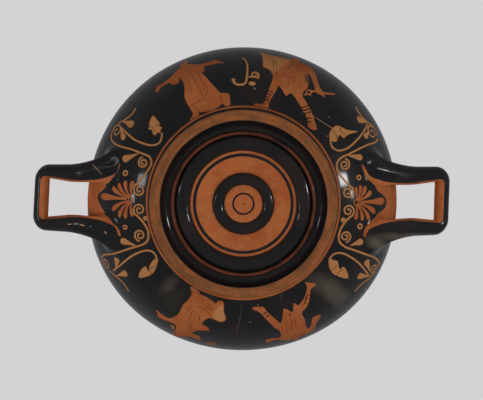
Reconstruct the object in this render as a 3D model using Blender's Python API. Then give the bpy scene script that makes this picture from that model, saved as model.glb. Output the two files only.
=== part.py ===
"""A Greek stemless kylix: a shallow drinking cup of fired clay on a low, broad ring foot.

The cup stands on its foot at z = 0, its axis is Z, and its two handles reach out along -X and +X.
Bowl, foot and handles were joined while the clay was soft, so they are one solid here.
"""

import math

import bmesh
import bpy
from mathutils import Vector

# Bowl, in metres
BOWL_RADIUS = 0.120
LIP_HEIGHT = 0.075
BOWL_FLAT_RADIUS = 0.040
BOWL_UNDERSIDE = 0.0125
WALL = 0.0042
FLOOR_THICKNESS = 0.0045

# Foot ring, in metres
FOOT_RADIUS = 0.0695
FOOT_EDGE_HEIGHT = 0.0085
FOOT_EDGE_ROUNDING = 0.0015
FOOT_NECK_INSET = 0.0034
REST_WIDTH = 0.0062
REST_CHAMFER = 0.0006

# Hollow under the foot, in metres
RECESS_DEPTH = 0.0096
COVE_WIDTH = 0.0072
RIDGE_WIDTH = 0.0031
RIDGE_CREST = 0.0042
OUTER_BEAD_WIDTH = 0.0112
OUTER_BEAD_CREST = 0.0058
BEAD_SEAT = 0.0082
INNER_BEAD_RADIUS = 0.0187
INNER_BEAD_WIDTH = 0.0085
INNER_BEAD_CREST = 0.0066
CENTRE_DISC_DEPTH = 0.0090

# Handles, in metres and degrees
HANDLE_PROJECTION = 0.0408
HANDLE_WIDTH = 0.0512
HANDLE_DROP = 0.0085
HANDLE_RISE = 29.0
HANDLE_TUBE = 0.0115
HANDLE_INNER_CORNER = 0.0008
ROOT_HEIGHT = 0.0365
ROOT_SPREAD = 0.0255
ROOT_WIDTH = 0.0240
ROOT_DEPTH = 0.0160
ROOT_CLEARANCE = 0.008
ROOT_PITCH = -6.0
ROOT_EASE = 0.010

# Fineness of the faceted solid
TURN_STEPS = 60
WALL_STEPS = 10
LIP_STEPS = 6
BEAD_STEPS = 6
RIDGE_STEPS = 4
COVE_STEPS = 4
EDGE_STEPS = 2
HANDLE_SIDES = 14
ROOT_STEPS = 6
CORNER_STEPS = 5
CROSSBAR_STEPS = 2
FLARE_POWER = 1.2
CUTTER_MARGIN = 0.010
SAME_POINT = 1e-6

BLACK_GLAZE = (0.014, 0.013, 0.013, 1.0)


def clear_scene():
    """Remove every object the file starts with."""
    for obj in list(bpy.data.objects):
        bpy.data.objects.remove(obj, do_unlink=True)


def glaze_material():
    """Glossy black slip-glaze."""
    material = bpy.data.materials.new("black_glaze")
    material.use_nodes = True
    shader = material.node_tree.nodes["Principled BSDF"]
    shader.inputs["Base Color"].default_value = BLACK_GLAZE
    shader.inputs["Roughness"].default_value = 0.22
    shader.inputs["Metallic"].default_value = 0.0
    material.diffuse_color = BLACK_GLAZE
    return material


def bead(inner, outer, base, crest, steps):
    """Points of a rounded bead seen in section, from its inner edge to its outer edge."""
    middle = (inner + outer) / 2
    half = (outer - inner) / 2
    points = []
    for step in range(steps + 1):
        angle = math.pi * step / steps
        points.append((middle - half * math.cos(angle), base + (crest - base) * math.sin(angle)))
    return points


def bowl_curve(inset, floor):
    """Section of the bowl from the edge of its flat floor up to the lip, set in from the outer wall."""
    reach = BOWL_RADIUS - inset - BOWL_FLAT_RADIUS
    rise = LIP_HEIGHT - floor
    points = []
    for step in range(WALL_STEPS + 1):
        angle = math.pi / 2 * step / WALL_STEPS
        points.append((BOWL_FLAT_RADIUS + reach * math.sin(angle), floor + rise * (1 - math.cos(angle))))
    return points


def wall_radius(height):
    """Radius of the bowl's outer surface at a height."""
    drop = (LIP_HEIGHT - height) / (LIP_HEIGHT - BOWL_UNDERSIDE)
    return BOWL_FLAT_RADIUS + (BOWL_RADIUS - BOWL_FLAT_RADIUS) * math.sqrt(1 - drop * drop)


def wall_height(radius):
    """Height of the bowl's outer surface at a radius beyond its flat underside."""
    share = (radius - BOWL_FLAT_RADIUS) / (BOWL_RADIUS - BOWL_FLAT_RADIUS)
    return LIP_HEIGHT - (LIP_HEIGHT - BOWL_UNDERSIDE) * math.sqrt(1 - share * share)


def underside_profile():
    """Section of the hollow under the foot, from the axis out to the resting face."""
    rest_outer = FOOT_RADIUS - FOOT_EDGE_ROUNDING
    rest_inner = rest_outer - REST_WIDTH
    cove_outer = rest_inner - REST_CHAMFER
    ridge_outer = cove_outer - COVE_WIDTH
    bead_outer = ridge_outer - RIDGE_WIDTH
    bead_inner = bead_outer - OUTER_BEAD_WIDTH
    ring_inner = INNER_BEAD_RADIUS - INNER_BEAD_WIDTH / 2
    ring_outer = INNER_BEAD_RADIUS + INNER_BEAD_WIDTH / 2
    points = [(0.0, CENTRE_DISC_DEPTH), (ring_inner, CENTRE_DISC_DEPTH)]
    points += bead(ring_inner, ring_outer, RECESS_DEPTH, INNER_BEAD_CREST, BEAD_STEPS)[1:]
    points += bead(bead_inner, bead_outer, RECESS_DEPTH, OUTER_BEAD_CREST, BEAD_STEPS)[:-1]
    points += bead(bead_outer, ridge_outer, BEAD_SEAT, RIDGE_CREST, RIDGE_STEPS)[:-1]
    for step in range(COVE_STEPS + 1):
        angle = math.pi / 2 * step / COVE_STEPS
        across = ridge_outer + COVE_WIDTH * math.sin(angle)
        points.append((across, REST_CHAMFER + (BEAD_SEAT - REST_CHAMFER) * math.cos(angle)))
    points.append((rest_inner, 0.0))
    points.append((rest_outer, 0.0))
    return points


def foot_edge_profile():
    """Section of the foot's outer edge, from the resting face up to the neck under the bowl."""
    corner = FOOT_RADIUS - FOOT_EDGE_ROUNDING
    neck = FOOT_RADIUS - FOOT_NECK_INSET
    points = []
    for step in range(1, EDGE_STEPS + 1):
        angle = math.pi / 2 * step / EDGE_STEPS
        sideways = FOOT_EDGE_ROUNDING * math.sin(angle)
        points.append((corner + sideways, FOOT_EDGE_ROUNDING * (1 - math.cos(angle))))
    points.append((FOOT_RADIUS, FOOT_EDGE_HEIGHT - FOOT_EDGE_ROUNDING))
    points.append((corner, FOOT_EDGE_HEIGHT))
    points.append((neck, (FOOT_EDGE_HEIGHT + wall_height(neck)) / 2))
    points.append((neck, wall_height(neck)))
    return points


def outer_wall_profile():
    """Section of the bowl's outer wall from beyond the neck of the foot up to the lip."""
    fillet = FOOT_RADIUS - FOOT_EDGE_ROUNDING
    points = [(fillet, wall_height(fillet))]
    points += [point for point in bowl_curve(0.0, BOWL_UNDERSIDE) if point[0] > FOOT_RADIUS]
    half = WALL / 2
    points[-1] = (BOWL_RADIUS, LIP_HEIGHT - half)
    return [point for point in points if point[1] <= LIP_HEIGHT - half]


def lip_profile():
    """Half round of the lip, from the outer wall over to the inner wall."""
    half = WALL / 2
    middle = BOWL_RADIUS - half
    points = []
    for step in range(1, LIP_STEPS):
        angle = math.pi * step / LIP_STEPS
        points.append((middle + half * math.cos(angle), LIP_HEIGHT - half + half * math.sin(angle)))
    return points


def inner_profile():
    """Section of the drinking bowl, from the lip down to the axis."""
    floor = BOWL_UNDERSIDE + FLOOR_THICKNESS
    points = bowl_curve(WALL, floor)
    points[-1] = (BOWL_RADIUS - WALL, LIP_HEIGHT - WALL / 2)
    points = [point for point in points if point[1] <= LIP_HEIGHT - WALL / 2]
    points.reverse()
    return points + [(0.0, floor)]


def turned(name, profile):
    """Object turned about Z from a section that starts and ends on the axis."""
    shape = bmesh.new()
    verts = [shape.verts.new((radius, 0.0, height)) for radius, height in profile]
    edges = [shape.edges.new(pair) for pair in zip(verts, verts[1:])]
    bmesh.ops.spin(
        shape, geom=verts + edges, cent=(0.0, 0.0, 0.0), axis=(0.0, 0.0, 1.0),
        angle=2 * math.pi, steps=TURN_STEPS, use_merge=True,
    )
    bmesh.ops.remove_doubles(shape, verts=shape.verts, dist=SAME_POINT)
    bmesh.ops.recalc_face_normals(shape, faces=shape.faces)
    return object_from(name, shape)


def object_from(name, shape):
    """Smooth-shaded object in the scene from a bmesh, which is freed."""
    mesh = bpy.data.meshes.new(name)
    shape.to_mesh(mesh)
    shape.free()
    mesh.shade_smooth()
    obj = bpy.data.objects.new(name, mesh)
    bpy.context.collection.objects.link(obj)
    return obj


def hide_helper(obj):
    """Keep a shape out of the finished cup while others use it."""
    obj.hide_render = True
    obj.display_type = "WIRE"


def wall_core():
    """Solid that fills the bowl to the middle of its wall and trims what enters from outside."""
    profile = [(0.0, BOWL_UNDERSIDE + FLOOR_THICKNESS / 2)]
    profile += bowl_curve(WALL / 2, BOWL_UNDERSIDE + FLOOR_THICKNESS / 2)
    profile.append((BOWL_RADIUS - WALL / 2, LIP_HEIGHT + CUTTER_MARGIN))
    profile.append((0.0, LIP_HEIGHT + CUTTER_MARGIN))
    core = turned("wall_core", profile)
    hide_helper(core)
    return core


def bezier(start, start_pull, end_pull, end, share):
    """Point and direction of a cubic curve at a share of its length."""
    rest = 1 - share
    point = (
        rest**3 * start + 3 * rest**2 * share * start_pull
        + 3 * rest * share**2 * end_pull + share**3 * end
    )
    direction = (
        rest**2 * (start_pull - start) + 2 * rest * share * (end_pull - start_pull)
        + share**2 * (end - end_pull)
    )
    return point, direction.normalized()


def handle_stations(side):
    """Half of a handle's path as (point, outward axis, direction, half width, half depth).

    The half runs from inside the wall at +Y, out along the arm and round the corner to the
    middle of the crossbar. Side is +1 or -1, for the handle at +X or -X.
    """
    rise = math.radians(HANDLE_RISE)
    tube = HANDLE_TUBE / 2
    along = Vector((side * math.cos(rise), 0.0, math.sin(rise)))
    across = Vector((0.0, 1.0, 0.0))
    crossbar = Vector((side * (BOWL_RADIUS + HANDLE_PROJECTION - tube), 0.0, LIP_HEIGHT - HANDLE_DROP))
    half_span = HANDLE_WIDTH / 2 - tube
    bend = tube + HANDLE_INNER_CORNER
    arm_run = (HANDLE_PROJECTION - tube - ROOT_CLEARANCE) / math.cos(rise)
    arm_start = crossbar - along * arm_run + across * half_span

    reach = math.sqrt(wall_radius(ROOT_HEIGHT) ** 2 - ROOT_SPREAD**2)
    root = Vector((side * reach, ROOT_SPREAD, ROOT_HEIGHT))
    pitch = math.radians(ROOT_PITCH)
    heading = Vector((side * math.cos(pitch), 0.0, math.sin(pitch)))
    sunk = root - heading * (WALL + ROOT_DEPTH / 2)
    stations = [(sunk, across, heading, ROOT_WIDTH / 2, ROOT_DEPTH / 2)]
    for step in range(ROOT_STEPS + 1):
        share = step / ROOT_STEPS
        point, direction = bezier(
            root, root + heading * ROOT_EASE, arm_start - along * ROOT_EASE, arm_start, share
        )
        flare = (1 - share) ** FLARE_POWER
        width = tube + (ROOT_WIDTH / 2 - tube) * flare
        depth = tube + (ROOT_DEPTH / 2 - tube) * flare
        sideways = (across - direction * across.dot(direction)).normalized()
        stations.append((point, sideways, direction, width, depth))

    pivot = crossbar - along * bend + across * (half_span - bend)
    for step in range(CORNER_STEPS + 1):
        angle = math.pi / 2 * step / CORNER_STEPS
        outer_axis = across * math.cos(angle) + along * math.sin(angle)
        direction = along * math.cos(angle) - across * math.sin(angle)
        stations.append((pivot + outer_axis * bend, outer_axis, direction, tube, tube))
    for step in range(1, CROSSBAR_STEPS + 1):
        share = 1 - step / CROSSBAR_STEPS
        point = crossbar + across * ((half_span - bend) * share)
        stations.append((point, along, -across, tube, tube))
    return stations


def mirrored(station):
    """The same station on the other arm of the handle."""
    point, outer_axis, direction, width, depth = station
    flip = Vector((1.0, -1.0, 1.0))
    return point * flip, outer_axis * flip, -(direction * flip), width, depth


def handle(name, side, core):
    """One handle as a closed tube whose ends are trimmed inside the bowl's wall."""
    half = handle_stations(side)
    path = half + [mirrored(station) for station in reversed(half[:-1])]
    shape = bmesh.new()
    rings = []
    for point, outer_axis, direction, width, depth in path:
        upright = direction.cross(outer_axis)
        ring = []
        for corner in range(HANDLE_SIDES):
            angle = 2 * math.pi * corner / HANDLE_SIDES
            offset = outer_axis * (width * math.cos(angle)) + upright * (depth * math.sin(angle))
            ring.append(shape.verts.new(point + offset))
        rings.append(ring)
    for first, second in zip(rings, rings[1:]):
        for corner in range(HANDLE_SIDES):
            following = (corner + 1) % HANDLE_SIDES
            shape.faces.new((first[corner], first[following], second[following], second[corner]))
    shape.faces.new(rings[0])
    shape.faces.new(rings[-1])
    bmesh.ops.recalc_face_normals(shape, faces=shape.faces)
    obj = object_from(name, shape)
    add_boolean(obj, "trim_in_wall", "DIFFERENCE", core)
    hide_helper(obj)
    return obj


def add_boolean(obj, name, operation, other):
    """Live exact Boolean on an object."""
    modifier = obj.modifiers.new(name, "BOOLEAN")
    modifier.operation = operation
    modifier.solver = "EXACT"
    modifier.object = other


def main():
    """Turn the cup, bend the handles and join them."""
    clear_scene()
    profile = underside_profile() + foot_edge_profile() + outer_wall_profile()
    profile += lip_profile() + inner_profile()
    kylix = turned("kylix", profile)
    kylix.data.materials.append(glaze_material())
    core = wall_core()
    for name, side in (("handle_left", -1), ("handle_right", 1)):
        add_boolean(kylix, "join_" + name, "UNION", handle(name, side, core))


main()
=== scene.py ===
"""Looks of a Greek stemless kylix: a black-glazed drinking cup with figures left in the clay.

The cup stands on its foot at z = 0 and is seen from straight beneath. The outside of its bowl is
laid out flat on a chart, in millimetres, with X to the right and Y up as that view shows them.
"""

import logging
import math
from collections import Counter
from dataclasses import dataclass, field
from enum import Enum

import bmesh
import bpy
import numpy as np
from mathutils import Matrix, Vector
from mathutils.geometry import delaunay_2d_cdt


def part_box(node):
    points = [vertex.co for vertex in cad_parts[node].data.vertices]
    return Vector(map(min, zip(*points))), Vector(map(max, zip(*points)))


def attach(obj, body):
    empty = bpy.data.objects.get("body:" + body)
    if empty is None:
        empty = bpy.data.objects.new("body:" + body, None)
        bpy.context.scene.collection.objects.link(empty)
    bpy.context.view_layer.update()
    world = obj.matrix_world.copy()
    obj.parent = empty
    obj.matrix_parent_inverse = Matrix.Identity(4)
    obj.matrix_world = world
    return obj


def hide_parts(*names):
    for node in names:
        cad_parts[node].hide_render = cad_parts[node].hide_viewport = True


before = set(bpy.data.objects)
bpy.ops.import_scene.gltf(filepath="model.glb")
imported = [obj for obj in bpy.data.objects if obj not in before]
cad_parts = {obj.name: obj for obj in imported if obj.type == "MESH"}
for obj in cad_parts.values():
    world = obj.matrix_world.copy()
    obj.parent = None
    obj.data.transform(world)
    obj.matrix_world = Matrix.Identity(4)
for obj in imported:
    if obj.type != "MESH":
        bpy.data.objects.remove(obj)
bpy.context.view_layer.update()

LOG = logging.getLogger("kylix")
NODE = "kylix"
MILLI = 0.001
SAME_POINT = 2e-6
COLUMNS = 192

Point = tuple[float, float]
Outline = list[Point]


class Paint(Enum):
    """What a patch of the cup is left as, with the value its faces carry."""

    OPENING = -2.0
    INSIDE = -1.0
    GLAZE = 0.0
    DULL = 0.15
    CRACK = 0.3
    DILUTE = 0.45
    CHIP = 0.6
    PALE_CLAY = 0.8
    CLAY = 1.0


def select_none() -> None:
    """Leave no object selected, so that an operator acts on the new one alone."""
    for obj in bpy.context.selected_objects:
        obj.select_set(False)


def edit(obj: bpy.types.Object) -> bmesh.types.BMesh:
    """Select an object, put it in edit mode and give its mesh.

    Args:
        obj: The object to edit.

    Returns:
        Its edit mesh, with the index tables ready.
    """
    select_none()
    bpy.context.view_layer.objects.active = obj
    obj.select_set(True)
    bpy.ops.object.mode_set(mode="EDIT")
    return edit_mesh(obj)


def edit_mesh(obj: bpy.types.Object) -> bmesh.types.BMesh:
    """The mesh of an object in edit mode, with its vertex indices in order."""
    shape = bmesh.from_edit_mesh(obj.data)
    shape.verts.ensure_lookup_table()
    shape.verts.index_update()
    return shape


def leave_edit() -> None:
    """Go back to object mode."""
    bpy.ops.object.mode_set(mode="OBJECT")


def quarter_turn(steps: int) -> list[float]:
    """Angles in even steps from 0 to a right angle."""
    return [math.pi / 2 * step / steps for step in range(steps + 1)]


@dataclass(frozen=True)
class Wave:
    """One swing of the rim out of round: how often it goes round, and its two parts in metres."""

    order: int
    cosine: float
    sine: float


UNEVEN = (
    Wave(1, 0.0, -0.0003), Wave(2, 0.0014, 0.0005), Wave(3, -0.0002, -0.0007), Wave(4, -0.0005, 0.0),
)


@dataclass
class Section:
    """The cup's section, from the axis under the foot round to the axis inside the bowl.

    Lengths are in metres. The bowl's outside is a quarter of an ellipse.
    """

    lip_height: float
    bowl_radius: float = 0.120
    flat_radius: float = 0.040
    underside: float = 0.0125
    wall: float = 0.0042
    floor_thickness: float = 0.0045
    foot_radius: float = 0.0695
    foot_edge_height: float = 0.0085
    foot_edge_rounding: float = 0.0015
    neck_inset: float = 0.0034
    neck_fillet: float = 0.0012
    rest_width: float = 0.0062
    rest_chamfer: float = 0.0006
    recess_depth: float = 0.0096
    cove_width: float = 0.0072
    ridge_width: float = 0.0031
    ridge_crest: float = 0.0042
    outer_bead_width: float = 0.0112
    outer_bead_crest: float = 0.0058
    bead_seat: float = 0.0082
    inner_bead_radius: float = 0.0187
    inner_bead_width: float = 0.0085
    inner_bead_crest: float = 0.0066
    disc_depth: float = 0.0090
    chart_neck: float = 70.0
    uneven: tuple = UNEVEN
    arc_steps: int = 2000
    inner_bead_steps: int = 18
    outer_bead_steps: int = 20
    ridge_steps: int = 10
    cove_steps: int = 12
    edge_steps: int = 6
    lip_steps: int = 12
    inside_steps: int = 40

    def __post_init__(self) -> None:
        """Measure the bowl's outside along its section, for the chart."""
        start = math.asin((self.neck_radius - self.flat_radius) / self.reach)
        top = math.acos(self.wall / 2 / self.rise)
        turns = np.linspace(start, top, self.arc_steps)
        radii = self.flat_radius + self.reach * np.sin(turns)
        heights = self.lip_height - self.rise * np.cos(turns)
        steps = np.hypot(np.diff(radii), np.diff(heights)) / MILLI
        self._rho = self.chart_neck + np.concatenate([[0.0], np.cumsum(steps)])
        self._radii = radii
        self._heights = heights

    @property
    def reach(self) -> float:
        """How far the bowl's curve reaches beyond its flat middle."""
        return self.bowl_radius - self.flat_radius

    @property
    def rise(self) -> float:
        """Height of the bowl's outside, from its flat middle to the lip."""
        return self.lip_height - self.underside

    @property
    def neck_radius(self) -> float:
        """Radius at which the foot meets the bowl."""
        return self.foot_radius - self.neck_inset

    @property
    def chart_rim(self) -> float:
        """Chart radius of the lip's outer edge, in millimetres."""
        return float(self._rho[-1])

    def wall_height(self, radius: float) -> float:
        """Height of the bowl's outside at a radius."""
        share = (radius - self.flat_radius) / self.reach
        return self.lip_height - self.rise * math.sqrt(max(0.0, 1 - share * share))

    def wall_radius(self, heights: np.ndarray) -> np.ndarray:
        """Radii of the bowl's outside at some heights."""
        drop = (self.lip_height - heights) / self.rise
        return self.flat_radius + self.reach * np.sqrt(1 - drop * drop)

    def chart_radius(self, radius: float) -> float:
        """Chart radius, in millimetres, of the bowl's outside at a radius."""
        return float(np.interp(radius, self._radii, self._rho))

    def on_wall(self, chart: np.ndarray) -> np.ndarray:
        """Points of the bowl's outside in space.

        Args:
            chart: Rows of chart X and Y, in millimetres.

        Returns:
            Rows of x, y and z, in metres.
        """
        rho = np.hypot(chart[:, 0], chart[:, 1])
        radius = np.interp(rho, self._rho, self._radii)
        height = np.interp(rho, self._rho, self._heights)
        away = chart / rho[:, None]
        return np.column_stack([away[:, 0] * radius, -away[:, 1] * radius, height])

    def wall_normals(self, points: np.ndarray) -> np.ndarray:
        """Outward normals of the bowl's outside at points on it."""
        radius = np.hypot(points[:, 0], points[:, 1])
        across = (radius - self.flat_radius) / self.reach**2
        up = (points[:, 2] - self.lip_height) / self.rise**2
        away = points[:, :2] / radius[:, None] * across[:, None]
        normals = np.column_stack([away, up])
        return normals / np.linalg.norm(normals, axis=1)[:, None]

    def out_of_round(self, points: np.ndarray) -> np.ndarray:
        """Move points as the cup's wall moved when it warped in the kiln.

        Args:
            points: Rows of x, y and z.

        Returns:
            The moved points. The foot stays where it is and the lip moves most.
        """
        turn = np.arctan2(-points[:, 1], points[:, 0])
        share = np.clip((points[:, 2] - self.underside) / self.rise, 0, 1) ** 2
        swing = 0
        for wave in self.uneven:
            around = wave.order * turn
            swing = swing + (wave.cosine * np.cos(around) + wave.sine * np.sin(around))
        growth = 1 + swing * share / self.bowl_radius
        return points * np.column_stack([growth, growth, np.ones_like(growth)])

    def bead(self, inner: float, outer: float, base: float, crest: float, steps: int) -> Outline:
        """Points of a rounded moulding, from its inner edge to its outer edge."""
        middle, half = (inner + outer) / 2, (outer - inner) / 2
        turns = [math.pi * step / steps for step in range(steps + 1)]
        return [(middle - half * math.cos(t), base + (crest - base) * math.sin(t)) for t in turns]

    def foot(self) -> Outline:
        """Section from the axis under the foot, over its mouldings and edge, to its neck."""
        rest_outer = self.foot_radius - self.foot_edge_rounding
        rest_inner = rest_outer - self.rest_width
        cove_outer = rest_inner - self.rest_chamfer
        ridge_outer = cove_outer - self.cove_width
        bead_outer = ridge_outer - self.ridge_width
        bead_inner = bead_outer - self.outer_bead_width
        ring_inner = self.inner_bead_radius - self.inner_bead_width / 2
        ring_outer = self.inner_bead_radius + self.inner_bead_width / 2
        points = [(0.0, self.disc_depth)]
        points += [(ring_inner * share, self.disc_depth) for share in (0.35, 0.7)]
        points += [(ring_inner, self.disc_depth)]
        crest, steps = self.inner_bead_crest, self.inner_bead_steps
        points += self.bead(ring_inner, ring_outer, self.recess_depth, crest, steps)[1:]
        span = bead_inner - ring_outer
        points += [(ring_outer + span * share, self.recess_depth) for share in (0.2, 0.5, 0.8)]
        crest, steps = self.outer_bead_crest, self.outer_bead_steps
        points += self.bead(bead_inner, bead_outer, self.recess_depth, crest, steps)[:-1]
        crest, steps = self.ridge_crest, self.ridge_steps
        points += self.bead(bead_outer, ridge_outer, self.bead_seat, crest, steps)[:-1]
        for turn in quarter_turn(self.cove_steps):
            depth = (self.bead_seat - self.rest_chamfer) * math.cos(turn)
            points.append((ridge_outer + self.cove_width * math.sin(turn), self.rest_chamfer + depth))
        points += [(rest_inner, 0.0), (rest_inner + 0.4 * self.rest_width, 0.0), (rest_outer, 0.0)]
        points += self.foot_edge(rest_outer)
        return points

    def foot_edge(self, corner: float) -> Outline:
        """Section of the foot's edge, from its resting face up to the neck."""
        rounding = self.foot_edge_rounding
        points = []
        turns = quarter_turn(self.edge_steps)
        for turn in turns[1:]:
            points.append((corner + rounding * math.sin(turn), rounding * (1 - math.cos(turn))))
        top = self.foot_edge_height - rounding
        for turn in turns:
            points.append((corner + rounding * math.cos(turn), top + rounding * math.sin(turn)))
        neck_top = self.wall_height(self.neck_radius)
        fillet = self.neck_fillet
        points.append((self.neck_radius + fillet, self.foot_edge_height + 0.2 * fillet))
        points.append((self.neck_radius + 0.25 * fillet, self.foot_edge_height + 0.6 * fillet))
        points.append((self.neck_radius, (self.foot_edge_height + neck_top) / 2))
        points.append((self.neck_radius, neck_top))
        return points

    def inside(self) -> Outline:
        """Section from the lip's outer edge, over the lip and down the drinking bowl to the axis."""
        half = self.wall / 2
        outer = self._radii[-1]
        points = []
        for step in range(self.lip_steps + 1):
            turn = math.pi * step / self.lip_steps
            height = self._heights[-1] + half * math.sin(turn)
            points.append((outer - half + half * math.cos(turn), height))
        floor = self.underside + self.floor_thickness
        inner_reach = outer - self.wall - self.flat_radius
        inner_rise = self._heights[-1] - floor
        for step in range(1, self.inside_steps + 1):
            turn = math.pi / 2 * (1 - step / self.inside_steps)
            height = floor + inner_rise * (1 - math.cos(turn))
            points.append((self.flat_radius + inner_reach * math.sin(turn), height))
        points += [(self.flat_radius * share, floor) for share in (0.75, 0.5, 0.25, 0.0)]
        return points


@dataclass
class Handles:
    """The two handles, which rise from the bowl and turn square corners round an open gap.

    Lengths are in metres and angles in degrees. The columns of a handle's tube are set out from
    the line that faces the gap, so that the strip left in the clay ends on an edge of the mesh.
    """

    section: Section
    projection_left: float = 0.0408
    projection_right: float = 0.0400
    width_left: float = 0.0512
    width_right: float = 0.0531
    drop: float = 0.0085
    rise: float = 29.0
    tube: float = 0.0115
    inner_corner: float = 0.0008
    root_height: float = 0.0365
    root_spread: float = 0.0255
    root_inner_half: float = 0.0142
    root_outer_half: float = 0.0112
    root_low_half_left: float = 0.0054
    root_low_half_right: float = 0.0064
    root_high_half: float = 0.0064
    root_clearance: float = 0.014
    fillet_inner: float = 0.0030
    fillet_outer: float = 0.0110
    fillet_rise: float = 0.26
    fillet_rise_change: float = 0.17
    fillet_rise_at_gap: float = 0.75
    fillet_bounds: float = 0.035
    pull: float = 0.30
    aside_left: float = -0.0011
    aside_right: float = -0.0005
    growth_left: float = 0.14
    growth_right: float = 0.18
    corner_growth_left: float = -0.06
    corner_growth_right: float = 0.02
    converge: float = 0.0008
    skew: float = -0.03
    skew_start: float = 0.113
    loop_fineness: int = 4
    strip_at_root: float = 66.0
    strip_at_throat: float = 28.0
    strip_on_arm: float = 46.0
    strip_on_bar: float = 72.0
    strip_narrowing: float = 5.0
    strip_columns: int = 16
    black_columns: int = 32
    root_steps: int = 26
    arm_steps: int = 12
    corner_steps: int = 14
    bar_steps: int = 10

    def frame_of(self, side: int) -> tuple[Vector, Vector, Vector]:
        """Directions of a handle: along it and upwards, and the middle of its bar."""
        turn = math.radians(self.rise)
        along = Vector((side * math.cos(turn), 0.0, math.sin(turn)))
        upright = Vector((-side * math.sin(turn), 0.0, math.cos(turn)))
        reach = self.section.bowl_radius + self.projection(side) - self.tube / 2
        bar = Vector((side * reach, self.aside(side), self.section.lip_height - self.drop))
        return along, upright, bar

    def aside(self, side: int) -> float:
        """How far a handle stands off the cup's middle line."""
        return self.aside_right if side > 0 else self.aside_left

    def projection(self, side: int) -> float:
        """How far a handle stands out from the rim."""
        return self.projection_right if side > 0 else self.projection_left

    def skewed(self, point: Vector, side: int) -> Vector:
        """Where a point of a handle lies with the whole handle a little askew."""
        _, _, bar = self.frame_of(side)
        share = (abs(point.x) - self.skew_start) / (abs(bar.x) - self.skew_start)
        return point + Vector((self.skew * (point.y - bar.y) * min(max(share, 0.0), 1.0), 0.0, 0.0))

    def turns(self, strip: float) -> list[float]:
        """Angles of the columns round the tube, from the line that faces the gap."""
        half = math.radians(strip)
        count = self.strip_columns
        angles = [-half + 2 * half * step / count for step in range(count + 1)]
        rest = 2 * math.pi - 2 * half
        count = self.black_columns
        return angles + [half + rest * step / count for step in range(1, count)]

    def ring(
        self, centre: Vector, outward: Vector, upright: Vector, strip: float, growth: float = 0.0
    ) -> list[Vector]:
        """Points round the tube at one place along it.

        Args:
            centre: Middle of the tube.
            outward: Direction away from the gap.
            upright: Direction of the tube's upper side.
            strip: Half the angle of the strip left in the clay, in degrees.
            growth: How much wider than high the tube is, as a share of its radius.

        Returns:
            The points, by column.
        """
        radius = self.tube / 2
        wide = radius * (1 + growth)
        return [
            centre - outward * (wide * math.cos(turn)) + upright * (radius * math.sin(turn))
            for turn in self.turns(strip)
        ]

    def root_loop(self, side: int, flip: float, strip: float) -> np.ndarray:
        """Points on the bowl's outside where an arm grows out of it.

        Args:
            side: +1 for the handle at +X, -1 for the one at -X.
            flip: +1 for its arm at +Y, -1 for the other.
            strip: Half the angle of the strip left in the clay, in degrees.

        Returns:
            Rows of x, y and z, by column.
        """
        turns = self.turns(strip)
        inwards, upwards = np.cos(turns), np.sin(turns)
        low_half = self.root_low_half_right if side > 0 else self.root_low_half_left
        outer_half = self.root_outer_half
        half = outer_half + (self.root_inner_half - outer_half) * (1 + inwards) / 2
        depth = low_half + (self.root_high_half - low_half) * (1 + upwards) / 2
        y = flip * (self.root_spread - half * inwards) + self.aside(side)
        z = self.root_height + depth * upwards
        return np.column_stack([side * np.sqrt(self.section.wall_radius(z) ** 2 - y * y), y, z])

    def fillet_reach(self, turn: np.ndarray) -> np.ndarray:
        """How far along the wall the fillet spreads from each column of a root."""
        return self.fillet_inner + (self.fillet_outer - self.fillet_inner) * (1 - np.cos(turn)) / 2

    def fillet_share(self, turn: np.ndarray) -> np.ndarray:
        """How steeply the fillet rises at each column: least below, most towards the gap."""
        towards_gap = np.clip(np.cos(turn), 0, None) ** 2
        share = self.fillet_rise + self.fillet_rise_change * np.sin(turn)
        return share + self.fillet_rise_at_gap * towards_gap

    def lifted(self, points: np.ndarray) -> tuple[np.ndarray, np.ndarray]:
        """Swell the bowl's outside towards the four roots, as the potter smoothed them in.

        Args:
            points: Rows of places on the bowl's outside.

        Returns:
            The swollen places and their outward normals.
        """
        normals = self.section.wall_normals(points)
        moved, facing = points.copy(), normals.copy()
        turns = np.array(self.turns(self.strip_at_root))
        for side in (-1, 1):
            for flip in (1.0, -1.0):
                loop = self.root_loop(side, flip, self.strip_at_root)
                after, later = np.roll(loop, -1, 0), np.roll(turns, -1)
                later[-1] += 2 * math.pi
                shares = np.arange(self.loop_fineness) / self.loop_fineness
                dense = (loop[:, None] + (after - loop)[:, None] * shares[:, None]).reshape(-1, 3)
                around = (turns[:, None] + (later - turns)[:, None] * shares).ravel()
                reach, steep = self.fillet_reach(around), self.fillet_share(around)
                off = np.linalg.norm(points - loop.mean(0), axis=1)
                near = np.flatnonzero(off < self.fillet_bounds)
                gaps = np.linalg.norm(points[near, None] - dense[None], axis=2)
                nearest = gaps.argmin(1)
                gap, spread, slope = gaps.min(1), reach[nearest], steep[nearest]
                rest = np.clip(1 - gap / spread, 0, None)
                away = (points[near] - dense[nearest]) / np.maximum(gap, SAME_POINT)[:, None]
                moved[near] += normals[near] * (slope * spread * rest**2)[:, None]
                facing[near] += away * (2 * slope * rest)[:, None]
        return moved, facing / np.linalg.norm(facing, axis=1)[:, None]

    def root_strip(self, share: float) -> float:
        """Half the angle of the strip at a share of the way from the wall to the arm."""
        arm = self.strip_on_arm
        widening = (self.strip_at_root - arm) * (1 - share) ** self.strip_narrowing
        return arm + widening - (arm - self.strip_at_throat) * 4 * share * (1 - share)

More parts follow.
